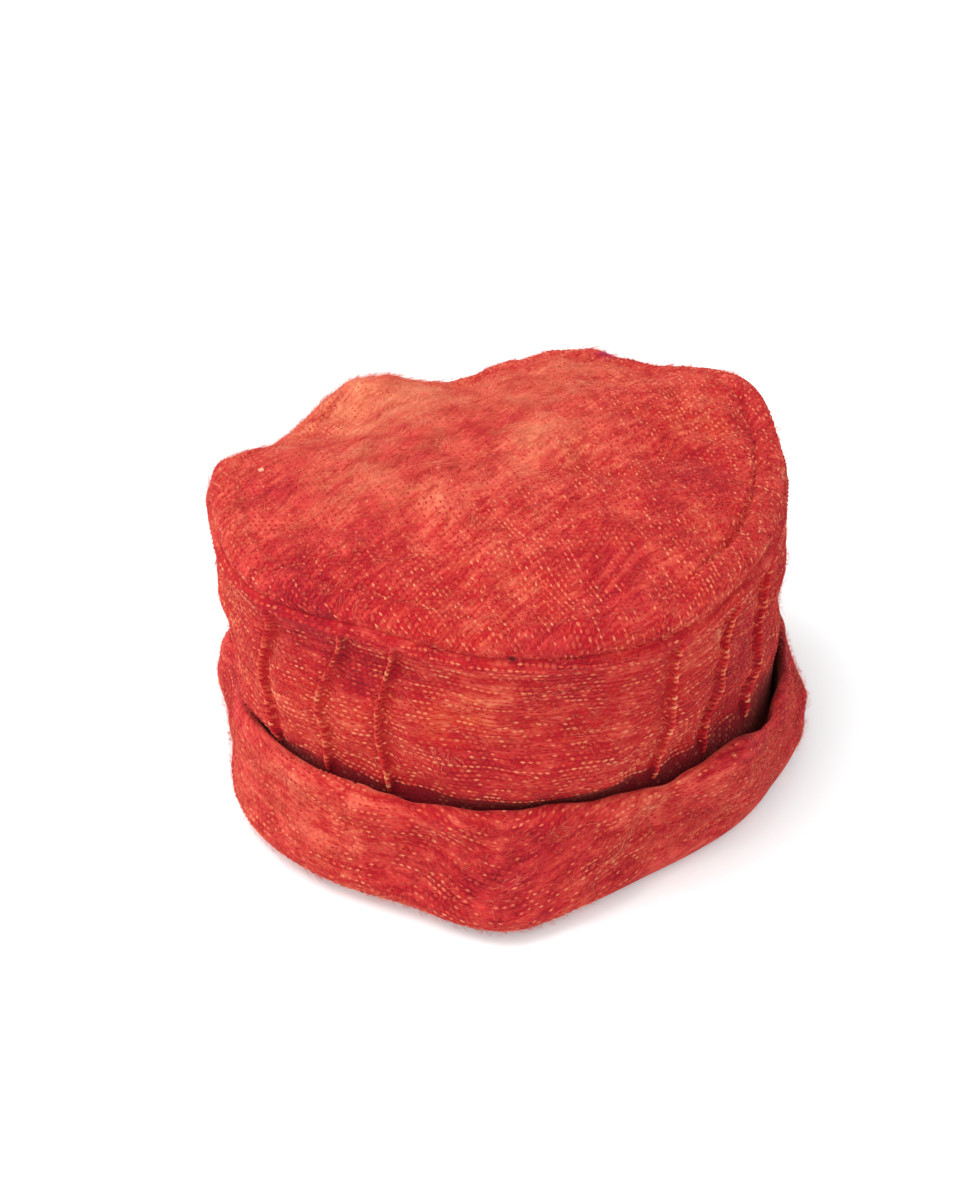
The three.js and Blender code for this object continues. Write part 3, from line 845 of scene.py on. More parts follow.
# The weave: a float of yarn in every cell, in rows that step by half a yarn.
def makeHandWeave():
    tree, sheet, given, put = newGroup(
        "handWeave",
        [("Cells", vector, None), ("Float Length", number, 0.9), ("Row Fullness", number, 0.9)],
        [("Relief", number), ("Chance", number), ("Row Tone", number)],
    )
    parts = sheet.add("ShaderNodeSeparateXYZ", {"Vector": given["Cells"]}).outputs
    row = sheet.calc("FLOOR", parts["Y"])
    half = sheet.calc("MULTIPLY", sheet.calc("PINGPONG", row, 1.0), 0.5)
    along = sheet.calc("ADD", parts["X"], half)
    yarn = sheet.calc("FLOOR", along)
    across = sheet.calc("SUBTRACT", sheet.calc("FRACT", parts["Y"]), 0.5)
    along = sheet.calc("SUBTRACT", sheet.calc("FRACT", along), 0.5)

    def dome(value, fullness):
        square = sheet.calc("POWER", sheet.calc("ABSOLUTE", sheet.calc("MULTIPLY", value, 2.0)), 2.4)
        return sheet.calc("SUBTRACT", 1.0, sheet.calc("MULTIPLY", square, fullness), clamp=True)

    relief = sheet.calc("MULTIPLY", dome(along, given["Float Length"]), dome(across, given["Row Fullness"]))
    cell = sheet.add("ShaderNodeCombineXYZ", {"X": yarn, "Y": row}).outputs[0]
    chance = sheet.add("ShaderNodeTexWhiteNoise", {"Vector": cell}, noise_dimensions="2D").outputs["Value"]
    slow = sheet.calc("MULTIPLY", yarn, 0.045)
    streak = sheet.add("ShaderNodeCombineXYZ", {"X": slow, "Y": row}).outputs[0]
    sheet.feed(put["Relief"], relief)
    sheet.feed(put["Chance"], chance)
    sheet.feed(put["Row Tone"], sheet.noise(streak, 1.0, 1.0))
    return tree


# The brushed nap: where it lies over the weave, its streaks and its own relief.
def makeBrushedNap():
    tree, sheet, given, put = newGroup(
        "brushedNap",
        [("Place", vector, None), ("Brushed Place", vector, None), ("Amount", number, 0.5),
         ("Streak Length", number, 6.0)],
        [("Mask", number), ("Streaks", number), ("Relief", number)],
    )
    stretch = sheet.add("ShaderNodeCombineXYZ", {
        "X": sheet.calc("DIVIDE", 1.0, given["Streak Length"]), "Y": 1.0, "Z": 1.0}).outputs[0]
    drawn = sheet.add("ShaderNodeVectorMath", operation="MULTIPLY")
    sheet.feed(drawn.inputs[0], given["Brushed Place"])
    sheet.feed(drawn.inputs[1], stretch)
    drawn = drawn.outputs[0]
    streaks = sheet.between(sheet.noise(drawn, 1.5, 4.0, 0.65), 0.3, 0.7)
    broad = sheet.between(sheet.noise(drawn, 0.4, 3.0, 0.6), 0.3, 0.7)
    patch = sheet.noise(given["Place"], 75.0, 3.0, 0.6)
    uneven = sheet.calc("MULTIPLY", sheet.calc("SUBTRACT", patch, 0.5), 1.5)
    wanted = sheet.calc("ADD", given["Amount"], uneven)
    wanted = sheet.calc("ADD", wanted, sheet.calc("MULTIPLY", sheet.calc("SUBTRACT", broad, 0.5), 0.45))
    sheet.feed(put["Mask"], sheet.between(wanted, 0.15, 0.85))
    sheet.feed(put["Streaks"], sheet.calc("MULTIPLY_ADD", streaks, 0.6, sheet.calc("MULTIPLY", broad, 0.4)))
    sheet.feed(put["Relief"], streaks)
    return tree


# The dye, with the painted shade in its patches: how crimson or orange the wool is, from broad patches down
# to yarn by yarn.
def makeMottledDye():
    tree, sheet, given, put = newGroup(
        "mottledDye",
        [("Place", vector, None), ("Patch", number, 0.0), ("Row Tone", number, 0.5), ("Streaks", number, 0.5),
         ("Mottle", number, 0.5)],
        [("Tone", number)],
    )
    broad = sheet.calc("SUBTRACT", sheet.noise(given["Place"], 45.0, 3.0, 0.6), 0.5)
    fine = sheet.calc("SUBTRACT", sheet.noise(given["Place"], 220.0, 2.0, 0.6), 0.5)
    tone = sheet.calc("MULTIPLY_ADD", given["Patch"], 0.42, 0.5)
    tone = sheet.calc("MULTIPLY_ADD", broad, given["Mottle"], tone)
    tone = sheet.calc("MULTIPLY_ADD", fine, sheet.calc("MULTIPLY", given["Mottle"], 0.7), tone)
    tone = sheet.calc("MULTIPLY_ADD", sheet.calc("SUBTRACT", given["Row Tone"], 0.5), 0.5, tone)
    tone = sheet.calc("MULTIPLY_ADD", sheet.calc("SUBTRACT", given["Streaks"], 0.5), 0.45, tone, clamp=True)
    sheet.feed(put["Tone"], tone)
    return tree


handWeave = makeHandWeave()
brushedNap = makeBrushedNap()
mottledDye = makeMottledDye()

wool = {
    "yarnStops": [(0.0, dyed(140, 8, 30)), (0.3, dyed(182, 20, 36)), (0.55, dyed(200, 36, 38)),
                  (0.78, dyed(218, 66, 48)), (1.0, dyed(232, 110, 56))],
    "napStops": [(0.0, dyed(202, 38, 56)), (0.35, dyed(220, 72, 66)), (0.6, dyed(231, 106, 86)),
                 (1.0, dyed(244, 156, 118))],
    "fleck": dyed(236, 142, 104),
    # The colour of the painted shade in the gaps between the yarns.
    "gap": dyed(96, 8, 16),
    "gapShade": 0.25,
    "surface": {
        "Roughness": 0.95,
        "Specular IOR Level": 0.2,
        "Sheen Weight": 0.16,
        "Sheen Tint": dyed(255, 180, 150),
    },
    "clothSheenRoughness": 0.45,
}


# The cloth of one piece. Nap and weave values say how much of each shows on it, and napTurn is the
# way that it is brushed, in degrees from its rows.
def makeWool(name, nap, napTurn=0.0, fleck=0.3, depth=0.35 * mm, mottle=0.5, streak=6.0):
    material, sheet, shader = newMaterial(name, wool["surface"])
    cells = sheet.add("ShaderNodeUVMap", uv_map="weave").outputs[0]
    place = sheet.add("ShaderNodeTexCoord").outputs["Object"]
    dyeAndShade = sheet.add("ShaderNodeAttribute", attribute_name="dyeAndShade").outputs["Fac"]
    napped = sheet.add("ShaderNodeAttribute", attribute_name="nap").outputs["Fac"]
    weave = sheet.add("ShaderNodeGroup", {"Cells": cells}, node_tree=handWeave).outputs
    pitch = (cloth["yarnPitch"] / mm, cloth["rowPitch"] / mm, 1)
    napping = sheet.add("ShaderNodeGroup", {
        "Place": place,
        "Brushed Place": sheet.scaled(cells, pitch, -napTurn),
        "Amount": sheet.calc("MULTIPLY_ADD", napped, 0.55, nap),
        "Streak Length": streak}, node_tree=brushedNap).outputs
    toned = sheet.add("ShaderNodeGroup", {
        "Place": place, "Patch": dyeAndShade, "Row Tone": weave["Row Tone"], "Streaks": napping["Streaks"],
        "Mottle": mottle}, node_tree=mottledDye).outputs
    bare = sheet.calc("SUBTRACT", 1.0, napping["Mask"])
    yarn = sheet.ramp(toned["Tone"], wool["yarnStops"])
    # Painted shade: the gaps between the floats are darkened towards the gap colour.
    shade = sheet.calc("MULTIPLY", sheet.calc("SUBTRACT", 1.0, weave["Relief"]), wool["gapShade"])
    yarn = sheet.blend(shade, yarn, wool["gap"])
    chosen = sheet.between(weave["Chance"], 0.6, 1.0)
    chosen = sheet.calc("MULTIPLY", chosen, sheet.between(weave["Relief"], 0.45, 0.95))
    chosen = sheet.calc("MULTIPLY", chosen, sheet.calc("MULTIPLY_ADD", bare, fleck * 0.8, fleck * 0.2))
    yarn = sheet.blend(chosen, yarn, wool["fleck"])
    fluff = sheet.ramp(toned["Tone"], wool["napStops"])
    colour = sheet.blend(sheet.calc("MULTIPLY", napping["Mask"], 0.72), yarn, fluff)
    height = sheet.calc("MULTIPLY", weave["Relief"], sheet.calc("MULTIPLY_ADD", bare, 0.7, 0.3))
    height = sheet.calc("MULTIPLY_ADD", napping["Relief"], 0.5, height)
    relief = sheet.add("ShaderNodeBump", {"Strength": 0.9, "Distance": depth, "Height": height}).outputs[0]
    varying = {"Base Color": colour, "Sheen Roughness": wool["clothSheenRoughness"], "Normal": relief}
    sheet.feedAll(shader, varying)
    return material


# One plain dye lot of loose wool, for floats and fibres too small to hold a pattern.
def makeDyeLot(name, colour):
    return newMaterial(name, {**wool["surface"], "Base Color": colour})[0]


crownWool = makeWool("crownWool", napTurn=crown["napHeading"] - crown["rowHeading"], nap=0.35)
bandWool = makeWool("bandWool", nap=0.22, streak=5.0)
brimWool = makeWool("brimWool", nap=0.38, streak=3.0)
clothBack = makeWool("clothBack", nap=0.3, fleck=0.5, depth=0.3 * mm, mottle=0.35)
yarnLots = [
    makeDyeLot("yarnCrimson", dyed(186, 20, 36)),
    makeDyeLot("yarnRed", dyed(204, 40, 42)),
    makeDyeLot("yarnCoral", dyed(216, 76, 60)),
    makeDyeLot("yarnApricot", dyed(230, 116, 86)),
    makeDyeLot("yarnStraw", dyed(238, 146, 106)),
]
print("materials made")


# Pieces

crownAngles = np.linspace(-180, 180, crown["columns"], endpoint=False)
edgeShares = 1 - (1 - np.linspace(0, 1, crown["rings"])) ** 1.35 * 0.985


# The crown's outer face from the seam, round its edge and in to the middle.
def crownRows():
    face = crownFace(crownAngles[:, None], edgeShares[::-1][None])
    seat = seamHeightAt(crownAngles)[:, None] - crown["tuckUnder"]
    turns = np.radians(np.linspace(90, 0, 6)[:-1])
    groove = around(seamLook, "groove", crownAngles)[:, None] * mm + crown["tuckUnder"]
    radius = seamRadiusAt(crownAngles)[:, None] - groove * (1 - np.cos(turns))
    height = face[:, 0, 2:] - (face[:, 0, 2:] - seat) * np.sin(turns)
    return np.concatenate([pointAt(crownAngles[:, None], radius, height), face], axis=1)


crownGrid = crownRows()
crownMiddle = crownFace(np.zeros(1), np.zeros(1))


# How far each of its points lies from the middle, along the cloth.
def reachFromMiddle():
    whole = np.concatenate([crownGrid, np.broadcast_to(crownMiddle[None], (len(crownGrid), 1, 3))], axis=1)
    steps = np.linalg.norm(np.diff(whole, axis=1), axis=-1)
    return np.cumsum(steps[:, ::-1], axis=1)[:, ::-1]


crownReach = reachFromMiddle()


def makeCrown():
    rimShare = 1 - cloth["thickness"] / footRadius
    liningShares = np.linspace(0.03, rimShare, crown["liningRings"])
    lining = crownFace(crownAngles[:, None], liningShares[None]) - [0, 0, cloth["thickness"]]
    inner = crownGrid[:, :1] * [0.99, 0.99, 1]
    grid = np.concatenate([lining, inner, crownGrid], axis=1)
    spread = pointAt(crownAngles[:, None], crownReach, 0)
    cells = np.concatenate([crownCells(lining), crownCells(inner), crownCells(spread)], axis=1)
    cells = strayCells(cells, grid)
    cells = np.concatenate([cells, cells[:1]])
    poles = np.concatenate([crownMiddle - [0, 0, cloth["thickness"]], crownMiddle])
    outside = (lining.shape[1] + 1, grid.shape[1])
    return shell("crownCloth", grid, cells, [crownWool, clothBack], outside, poles)


stations = bandStations()
bandLevels = np.linspace(0, 1, sideBand["rows"]) ** 0.92
bandGrid = bandFace(stations[:, None], bandLevels[None])


def makeBand():
    liningLevels = np.linspace(1, 0, sideBand["liningRows"])
    lining = bandFace(stations[:, None], liningLevels[None], outside=False)
    grid = np.concatenate([bandGrid, lining], axis=1)
    closed = np.append(stations, stations[0] + 360)
    levels = np.concatenate([bandLevels, liningLevels])
    cells = ringCells(closed[:, None], levels[None] * head["bandHeight"])
    cells = strayCells(cells, np.concatenate([grid, grid[:1]]))
    outside = np.arange(grid.shape[1]) < bandGrid.shape[1]
    # Painted shade: below where the band comes into the light its colour is painted darker and its nap taken
    # away.
    low, high = [brim["height"] + rise for rise in sideBand["comesOut"]]
    paintedShadeDepth = outside * (1 - smooth(grid[..., 2], low, high))
    return shell("bandCloth", grid, cells, [bandWool, clothBack], (0, bandGrid.shape[1]), paintedShadeDepth=paintedShadeDepth)


brimAngles = np.linspace(-180, 180, brim["columns"], endpoint=False)
brimGrid, brimAlong = brimFace(brimAngles, brim["rows"])


def makeBrim():
    lining, liningAlong = brimFace(brimAngles, brim["liningRows"], outside=False)
    grid = np.concatenate([brimGrid, lining[:, ::-1]], axis=1)
    along = np.concatenate([brimAlong, liningAlong[:, ::-1]], axis=1)
    closed = np.append(brimAngles, 180.0)
    cells = ringCells(closed[:, None], np.concatenate([along, along[:1]]))
    cells = strayCells(cells, np.concatenate([grid, grid[:1]]))
    outside = np.arange(grid.shape[1]) < brimGrid.shape[1]
    # Painted shade: the brim's cloth in the crevice is painted darker and its nap taken away.
    paintedShadeDepth = outside * (1 - smooth(brimAlong[:, -1:] - along, *brim["comesOut"]))
    return shell("brimCloth", grid, cells, [brimWool, clothBack], (0, brimGrid.shape[1]), paintedShadeDepth=paintedShadeDepth)


crownCloth = makeCrown()
bandCloth = makeBand()
brimCloth = makeBrim()
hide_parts("crown")
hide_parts("side_band")
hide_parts("rolled_brim")
print("crown, band and brim made")


# Where a cell of each cloth lies on its outer face.
def crownPlace(u, v):
    heading = math.radians(-crown["rowHeading"])
    x, y = rotated(u * cloth["yarnPitch"], v * cloth["rowPitch"], heading)
    column = (np.degrees(np.arctan2(x, -y)) + 180) / 360 * crown["columns"]
    share = np.hypot(x, y) / readRound(crownReach[:, 0], column)
    profile = (crownReach / crownReach[:, :1]).mean(axis=0)
    row = np.interp(share, profile[::-1], np.arange(len(profile))[::-1])
    return readGrid(crownGrid, column, row)


def crownCovers(u, v):
    x, y = u * cloth["yarnPitch"], v * cloth["rowPitch"]
    column = (np.degrees(np.arctan2(x, -y)) + crown["rowHeading"] + 180) / 360 % 1 * crown["columns"]
    return np.hypot(x, y) < readRound(crownReach[:, 0], column) - crown["tuckUnder"] - crown["bareEdge"]


def bandPlace(u, v):
    angle = stations[0] + (u / yarnsRound * 360 - 180 - stations[0]) % 360
    column = np.interp(angle, np.append(stations, stations[0] + 360), np.arange(len(stations) + 1))
    level = v * cloth["rowPitch"] / head["bandHeight"]
    return readGrid(bandGrid, column, np.interp(level, bandLevels, np.arange(len(bandLevels))))


def bandCovers(u, v):
    angle = u / yarnsRound * 360 - 180
    fromTuck = np.min(np.abs(turnBetween(angle[:, None], np.array(pinTucks["angle"])[None])), axis=1)
    return np.radians(fromTuck) * footRadius > tuck["width"] * tuck["bareShare"]


def brimPlace(u, v):
    column = u / yarnsRound * brim["columns"]
    row = v * cloth["rowPitch"] / readRound(brimAlong[:, -1], column) * (brim["rows"] - 1)
    return readGrid(brimGrid, column, row)


# The last of the brim's cloth lies in the crevice, where it is left bare of floats so that its painted shade
# shows unbroken.
def brimCovers(u, v, bare=brim["bareEnd"]):
    whole = readRound(brimAlong[:, -1], u / yarnsRound * brim["columns"])
    return v * cloth["rowPitch"] < whole - bare


def brimTopCovers(u, v):
    return brimCovers(u, v, brim["napEnd"])


# The first and last yarn, then the first and last row, of each cloth where it shows or is brushed.
visible = {
    "crown": (-48, 48, -57, 57),
    "band": (0, yarnsRound, 12, 44),
    "brim": (0, yarnsRound, 20, 55),
    "bandNap": (0, yarnsRound, 15, 44.4),
    "brimNap": (0, yarnsRound, 20, 48),
}

# Floats of yarn: the stitches of the weave that stand out of the cloth.
floats = {
    "length": 2.1 * mm,
    "width": 0.84 * mm,
    "rise": 0.36 * mm,
    "depth": 0.15 * mm,
    "turn": 7,  # degrees that they stray from their row
    "shares": [0.22, 0.25, 0.25, 0.21, 0.07],  # of each dye lot, from crimson to straw
    "form": [(0, 1, 4), (0, 4, 3), (2, 5, 1), (2, 3, 5), (4, 1, 5),
             (4, 5, 3), (0, 6, 1), (1, 6, 2), (2, 6, 3), (3, 6, 0)],
}


def makeFloats(name, place, covers, rows, nap, seed):
    dice = np.random.default_rng(seed)
    u, v = floatCells(*rows)
    u, v = u[covers(u, v)], v[covers(u, v)]
    movedU, movedV = settle(place, u, v)
    point, along, across, out = frameOn(place, movedU, movedV)
    napped = np.clip(napAt(point) * 0.55 + nap + dice.normal(0, 0.12, len(u)), 0, 1)
    size = (1 - 0.3 * napped) * dice.uniform(0.82, 1.15, len(u))
    turn = np.radians(dice.normal(0, floats["turn"], len(u)))[:, None]
    long, wide = rotated(along, across, turn)
    long = long * (size * floats["length"] / 2)[:, None]
    wide = wide * (size * floats["width"] / 2)[:, None]
    rise = out * (floats["rise"] * (1 - 0.75 * napped))[:, None]
    corners = [point + long, point + wide, point - long, point - wide, point + long * 0.45 + rise,
               point - long * 0.45 + rise, point - out * floats["depth"]]
    # The dye patches, with their painted shade, tip each float towards a darker or paler lot.
    tone = 0.8 * dyeAndShadeAt(point) + 0.6 * rowStreaks(u, v, seed) + dice.normal(0, 0.75, len(u)) - 0.5 * napped
    lots = lotsByTone(tone, floats["shares"])
    return scatterForm(name, np.stack(corners, axis=1), floats["form"], lots, yarnLots)


crownFloats = makeFloats("crownFloats", crownPlace, crownCovers, visible["crown"], 0.1, 61)
bandFloats = makeFloats("bandFloats", bandPlace, bandCovers, visible["band"], 0.0, 62)
brimFloats = makeFloats("brimFloats", brimPlace, brimCovers, visible["brim"], 0.1, 63)
print("floats of yarn laid")


# The yarns that bend over each tuck's edge, one for each row.
def makeTuckYarns():
    dice = np.random.default_rng(71)
    rows = np.arange(*tuck["yarnRows"])
    steps, sides = np.linspace(-tuck["yarnReach"], tuck["yarnReach"], 7), 5
    taper = np.sqrt(1 - steps**2 * 1.3)
    tubes = []
    for angle, lean in zip(pinTucks["angle"], pinTucks["lean"]):
        level = (rows + 0.5) * cloth["rowPitch"] / head["bandHeight"]
        level = level[:, None] + steps[None] * tuck["yarnTilt"] / head["bandHeight"] * lean
        spread = np.degrees(steps * tuck["width"] / 2 / footRadius)[None] * np.ones((len(rows), 1))
        path = bandFace(angle + spread, level)
        forward = unit(np.gradient(path, axis=1))
        out = unit(np.cross(forward, [0.0, 0.0, 1.0]))
        up = np.cross(out, forward)
        thick = tuck["yarnThickness"] / 2 * dice.uniform(0.85, 1.1, len(rows))[:, None] * taper
        ring = []
        for turn in np.arange(sides) * 2 * math.pi / sides:
            sideways = out * math.cos(turn) * tuck["yarnFlatness"]
            ring.append(path + (sideways + up * math.sin(turn)) * thick[..., None])
        ring = np.stack(ring, axis=2).reshape(len(rows), -1, 3)
        tubes.append(np.concatenate([ring, path[:, :1], path[:, -1:]], axis=1))
    faces = []
    for side in range(sides):
        after = (side + 1) % sides
        for i in range(len(steps) - 1):
            a, b, c, d = i * sides + side, (i + 1) * sides + side, (i + 1) * sides + after, i * sides + after
            faces += [(a, b, c), (a, c, d)]
        last = (len(steps) - 1) * sides
        faces += [(len(steps) * sides, side, after), (len(steps) * sides + 1, last + after, last + side)]
    tubes = np.concatenate(tubes)
    lots = lotsByTone(dice.normal(0, 1, len(tubes)), tuck["yarnShares"])
    return scatterForm("tuckYarns", tubes, faces, lots, yarnLots)


tuckYarns = makeTuckYarns()
print("tucks edged")

# The brushed fibres that lie over the weave, and the few that stand up from it.
fibres = {
    "shortest": 2.5 * mm,
    "longest": 7 * mm,
    "thick": 0.055 * mm,
    "lift": 0.55 * mm,
    "standing": 0.38,  # the share of them that stand up
    "standLift": 1.9 * mm,
    "streak": 4.5 * mm,  # width of a streak of one colour
    "shares": [0.2, 0.3, 0.28, 0.17, 0.05],
    "form": [(0, 2, 1), (0, 3, 2), (0, 1, 3), (1, 2, 4), (2, 3, 4), (3, 1, 4)],
}


# The corners of some fibres, bent over their middle and leaning out by their lift at it and at the tip.
def fibreCorners(root, forward, out, length, midLift, tipLift, curl):
    aside = np.cross(out, forward)
    middle = root + forward * length * 0.5 + out * midLift + aside * curl
    corners = [root - out * 0.1 * mm]
    for corner in np.radians([90, 210, 330]):
        corners.append(middle + (aside * math.cos(corner) + out * math.sin(corner)) * fibres["thick"])
    corners.append(root + forward * length + out * tipLift + aside * curl * 0.4)
    corners = np.stack(corners, axis=1)
    corners[..., 2] = np.maximum(corners[..., 2], 0.05 * mm)
    return corners


# Density is the share of the places tried that get a fibre where there is no nap. Turn is the way that
# they are brushed and spread how far they stray from it, in degrees from the rows.
def makeFibres(name, place, covers, rows, count, density, turn, spread, seed):
    dice = np.random.default_rng(seed)
    u = dice.uniform(rows[0], rows[1], count * 3)
    v = dice.uniform(rows[2], rows[3], count * 3)
    u, v = u[covers(u, v)], v[covers(u, v)]
    napped = np.clip(napAt(place(u, v)) * 0.75, 0, 1)
    kept = np.nonzero(dice.uniform(0, 1, len(u)) < density + (1 - density) * napped)[0][:count]
    u, v = u[kept], v[kept]
    point, along, across, out = frameOn(place, u, v)
    heading = turn + spread * (0.6 * ripple(point, 14 * mm, seed + 1) + dice.normal(0, 0.6, len(u)))
    heading = np.radians(heading)[:, None]
    forward = along * np.cos(heading) + across * np.sin(heading)
    length = dice.uniform(fibres["shortest"], fibres["longest"], len(u))[:, None]
    stands = (dice.uniform(0, 1, len(u)) < fibres["standing"])[:, None]
    lift = np.where(stands, fibres["standLift"], fibres["lift"]) * dice.uniform(0.5, 1.2, (len(u), 1))
    length = np.where(stands, length * 0.6, length)
    curl = dice.normal(0, 0.12, (len(u), 1)) * length
    corners = fibreCorners(point, forward, out, length, lift * 0.8, lift * (0.5 + stands * 0.6), curl)
    along, across = rotated(u * cloth["yarnPitch"], v * cloth["rowPitch"], math.radians(turn))
    drawn = np.stack([along / 4, across, np.zeros(len(u))], axis=-1)
    # The dye patches, with their painted shade, tip each fibre towards a darker or paler lot.
    tone = ripple(drawn, fibres["streak"], seed + 2) + dyeAndShadeAt(point) + 0.9 * napped[kept]
    lots = lotsByTone(tone + dice.normal(0, 0.6, len(u)), fibres["shares"])
    return scatterForm(name, corners, fibres["form"], lots, napLots)


napLots = [
    makeDyeLot("napCrimson", dyed(208, 38, 56)),
    makeDyeLot("napRed", dyed(224, 74, 66)),
    makeDyeLot("napCoral", dyed(236, 108, 86)),
    makeDyeLot("napApricot", dyed(243, 136, 104)),
    makeDyeLot("napPeach", dyed(247, 164, 132)),
]
crownTurn = crown["napHeading"] - crown["rowHeading"]
crownFibres = makeFibres("crownFibres", crownPlace, crownCovers, visible["crown"],
                         count=29000, density=0.3, turn=crownTurn, spread=35, seed=81)
bandFibres = makeFibres("bandFibres", bandPlace, bandCovers, visible["bandNap"],
                        count=11000, density=0.35, turn=0, spread=60, seed=82)
brimFibres = makeFibres("brimFibres", brimPlace, brimTopCovers, visible["brimNap"],
                        count=16000, density=0.4, turn=20, spread=60, seed=83)
print("nap brushed")

# What strayed into the wool: a dark knot in the seam, a pale nub on the crown and a few bright fibres.
strays = {
    "knotPlace": (-3.8, 92.6, 98.6),  # angle in degrees, radius and height in millimetres
    "knotSize": (2.4, 1.1, 1.0),
    "knotColour": dyed(96, 14, 26),
    "nubAngle": -94,
    "nubShare": 0.82,
    "nubSize": (1.9, 1.3, 1.1),
    "nubColour": dyed(250, 214, 176),
    "tuftAngle": 149,
    "tuftShare": 0.92,
    "tuftCount": 26,
    "tuftColour": dyed(196, 30, 128),
}


def makeNub(name, centre, size, material, seed):
    columns, rows = 12, 6
    turns = np.linspace(0, 2 * math.pi, columns, endpoint=False)[:, None]
    tilts = np.linspace(0, math.pi, rows + 2)[1:-1]
    ring = np.stack([np.cos(turns) * np.sin(tilts), np.sin(turns) * np.sin(tilts),
                     np.broadcast_to(np.cos(tilts), (columns, rows))], axis=-1)
    ball = np.concatenate([ring.reshape(-1, 3), [[0, 0, 1], [0, 0, -1]]])
    points = centre + ball * np.array(size) * mm * (1 + 0.2 * ripple(ball, 1.2, seed))[:, None] / 2
    quads = gridQuads(columns, rows)[2][:, [0, 3, 2, 1]]
    top = poleFan(columns, rows, 0, columns * rows)
    foot = poleFan(columns, rows, rows - 1, columns * rows + 1)[:, [0, 2, 1]]
    return addPiece(name, meshFrom(name, points, [quads, np.concatenate([top, foot])]), [material])


def makeTuft():
    dice = np.random.default_rng(91)
    count = strays["tuftCount"]
    angle = strays["tuftAngle"] + dice.normal(0, 1.6, count)
    root = crownFace(angle, strays["tuftShare"] + dice.normal(0, 0.008, count))
    across, rise = dice.normal(0.1, 0.25, count), dice.normal(0, 0.05, count)
    forward = np.stack([np.full(count, 1.0), across, rise], axis=-1)
    out = np.tile([0.0, 0.0, 1.0], (count, 1))
    length, lift = dice.uniform(4, 9, (count, 1)) * mm, dice.uniform(0.5, 1.5, (count, 1)) * mm
    curl = dice.normal(0, 1, (count, 1)) * mm
    corners = fibreCorners(root - forward * length / 2, forward, out, length, lift, lift * 0.5, curl)
    return scatterForm("strayFibres", corners, fibres["form"], np.zeros(count, int),
                       [makeDyeLot("strayMagenta", strays["tuftColour"])])


knotAt = pointAt(strays["knotPlace"][0], strays["knotPlace"][1] * mm, strays["knotPlace"][2] * mm)
seamKnot = makeNub("seamKnot", knotAt, strays["knotSize"], makeDyeLot("knotWool", strays["knotColour"]), 92)
nubAt = crownFace(np.array([strays["nubAngle"]]), np.array([strays["nubShare"]]))[0] + [0, 0, 0.4 * mm]
paleNub = makeNub("paleNub", nubAt, strays["nubSize"], makeDyeLot("nubWool", strays["nubColour"]), 93)
strayFibres = makeTuft()

# The cloth turned in at the seams, which shows inside the hat. Levels are shares of the band's height.
turnedIn = {
    "crownTop": 0.985,
    "crownFoot": 0.885,
    "footTop": 0.1,
    "footFoot": 0.005,
    "clear": 0.3 * mm,
    "thickness": 1.7 * mm,
    "curl": 0.8 * mm,
    "wave": 0.7 * mm,
    "columns": 240,
    "rows": 7,
}


def makeTurnedIn(name, top, foot, freeEnd, seed):
    angles = np.linspace(-180, 180, turnedIn["columns"], endpoint=False)
    shares = np.linspace(0, 1, turnedIn["rows"])
    free = shares if freeEnd == "foot" else 1 - shares
    wave = ripple(pointAt(angles, footRadius, 0.0), 20 * mm, seed)[:, None] * turnedIn["wave"]
    levels = top + (foot - top) * shares + wave * free / head["bandHeight"]
    face = bandFace(angles[:, None], levels, outside=False)
    outward = unit(face * [1, 1, 0])
    stand = (turnedIn["clear"] + (turnedIn["curl"] + 0.4 * wave) * free**2)[..., None]
    near, far = face - outward * stand, face - outward * (stand + turnedIn["thickness"])
    grid = np.concatenate([near[:, ::-1], far], axis=1)
    rows = np.concatenate([shares[::-1], shares])
    cells = ringCells(np.append(angles, 180.0)[:, None], rows[None] * 0.1 * head["bandHeight"])
    return shell(name, grid, cells, [clothBack, clothBack], (0, turnedIn["rows"]))


crownTurnedIn = makeTurnedIn("crownTurnedIn", turnedIn["crownTop"], turnedIn["crownFoot"], "foot", 95)
footTurnedIn = makeTurnedIn("footTurnedIn", turnedIn["footTop"], turnedIn["footFoot"], "top", 96)
print("seams turned in")

triangles = {piece.name: sum(len(face.vertices) - 2 for face in piece.data.polygons) for piece in pieces}
for name, count in triangles.items():
    print(name, "has", count, "triangles")
print("triangles in all:", sum(triangles.values()))


# The studio: a pale floor that curves up all round, soft light from the upper left, and the camera.

studio = {
    "floorRadius": 2.2,
    "floorRise": 0.9,
    "floor": dyed(250, 250, 250),
    "shadowLift": (0.13, 0.2, 0.205, 1.0),  # keeps the shadow a pale plain grey
    "keyPlace": (-0.6, 0.0, 1.3),
    "keySize": 1.0,
    "keyPower": 11.8,
    "fillPlace": (-0.6, -1.2, 0.7),
    "fillSize": 1.4,
    "fillPower": 3.5,
    "skyStrength": 0.86,
    "azimuth": -4.5,
    "elevation": 36,
    "distance": 0.7,
    "lens": 60,
    "aimHeight": 50 * mm,
    "picture": (960, 1200),
    "aimPixel": (503, 607),  # where the axis shows at that height
    "sensor": 36,
}


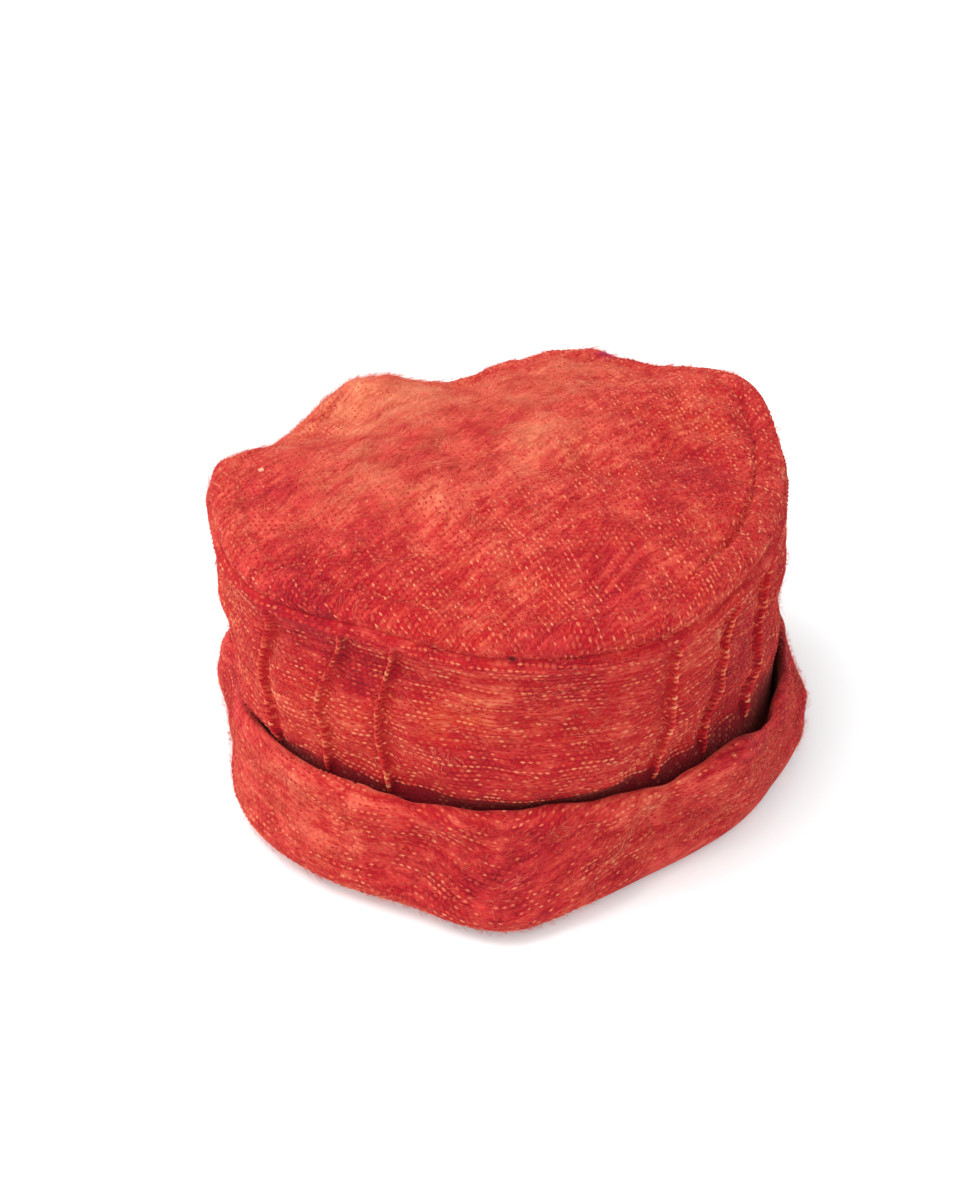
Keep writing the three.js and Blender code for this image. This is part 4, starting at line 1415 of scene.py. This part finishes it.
def makeFloor():
    turns = np.linspace(0, 2 * math.pi, 96, endpoint=False)
    shares = np.linspace(0.02, 1, 40)
    radius = studio["floorRadius"] * shares
    height = studio["floorRise"] * smooth(shares, 0.55, 1.0) ** 2
    ring = np.stack([np.cos(turns)[:, None] * radius, np.sin(turns)[:, None] * radius,
                     np.broadcast_to(height, (len(turns), len(shares)))], axis=-1)
    points = np.concatenate([ring.reshape(-1, 3), [[0, 0, 0]]]) - hatAxis
    quads = gridQuads(len(turns), len(shares))[2][:, [0, 3, 2, 1]]
    fan = poleFan(len(turns), len(shares), 0, len(turns) * len(shares))
    floor = addObject("studioFloor", meshFrom("studioFloor", points, [quads, fan]))
    surface = {"Base Color": studio["floor"], "Roughness": 0.9, "Emission Strength": 1.0}
    material, sheet, shader = newMaterial("palePaper", surface)
    seen = sheet.add("ShaderNodeLightPath").outputs["Is Camera Ray"]
    sheet.feed(shader["Emission Color"], sheet.blend(seen, (0, 0, 0, 1), studio["shadowLift"]))
    floor.data.materials.append(material)


def addSoftLight(name, place, size, power):
    light = bpy.data.lights.new(name, "AREA")
    light.shape, light.size, light.energy = "DISK", size, power
    lamp = addObject(name, light)
    lamp.location = place
    lamp.rotation_euler = (Vector((0, 0, 0.05)) - Vector(place)).to_track_quat("-Z", "Y").to_euler()


def makeCamera():
    turn, tilt = math.radians(studio["azimuth"]), math.radians(studio["elevation"])
    back = Vector((math.sin(turn) * math.cos(tilt), -math.cos(turn) * math.cos(tilt), math.sin(tilt)))
    right = Vector((math.cos(turn), math.sin(turn), 0))
    up = back.cross(right)
    wide, tall = studio["picture"]
    perPixel = studio["sensor"] / studio["lens"] / tall * studio["distance"]
    aside = (studio["aimPixel"][0] - wide / 2) * perPixel
    above = (tall / 2 - studio["aimPixel"][1]) * perPixel
    aim = Vector(hatAxis) + Vector((0, 0, studio["aimHeight"]))
    camera = addObject("camera", bpy.data.cameras.new("camera"))
    camera.data.lens = studio["lens"]
    camera.data.sensor_width = camera.data.sensor_height = studio["sensor"]
    camera.data.sensor_fit = "AUTO"
    facing = Matrix((right, up, back)).transposed().to_4x4()
    place = aim + back * studio["distance"] - right * aside - up * above
    camera.matrix_world = Matrix.Translation(place) @ facing
    bpy.context.scene.camera = camera


def lightStudio():
    addSoftLight("keyLight", studio["keyPlace"], studio["keySize"], studio["keyPower"])
    addSoftLight("fillLight", studio["fillPlace"], studio["fillSize"], studio["fillPower"])
    world = bpy.data.worlds.new("softSky")
    world.use_nodes = True
    world.node_tree.nodes["Background"].inputs["Color"].default_value = (1, 1, 1, 1)
    world.node_tree.nodes["Background"].inputs["Strength"].default_value = studio["skyStrength"]
    bpy.context.scene.world = world
    bpy.context.scene.view_settings.view_transform = "Standard"


makeFloor()
lightStudio()
makeCamera()
print("studio made")
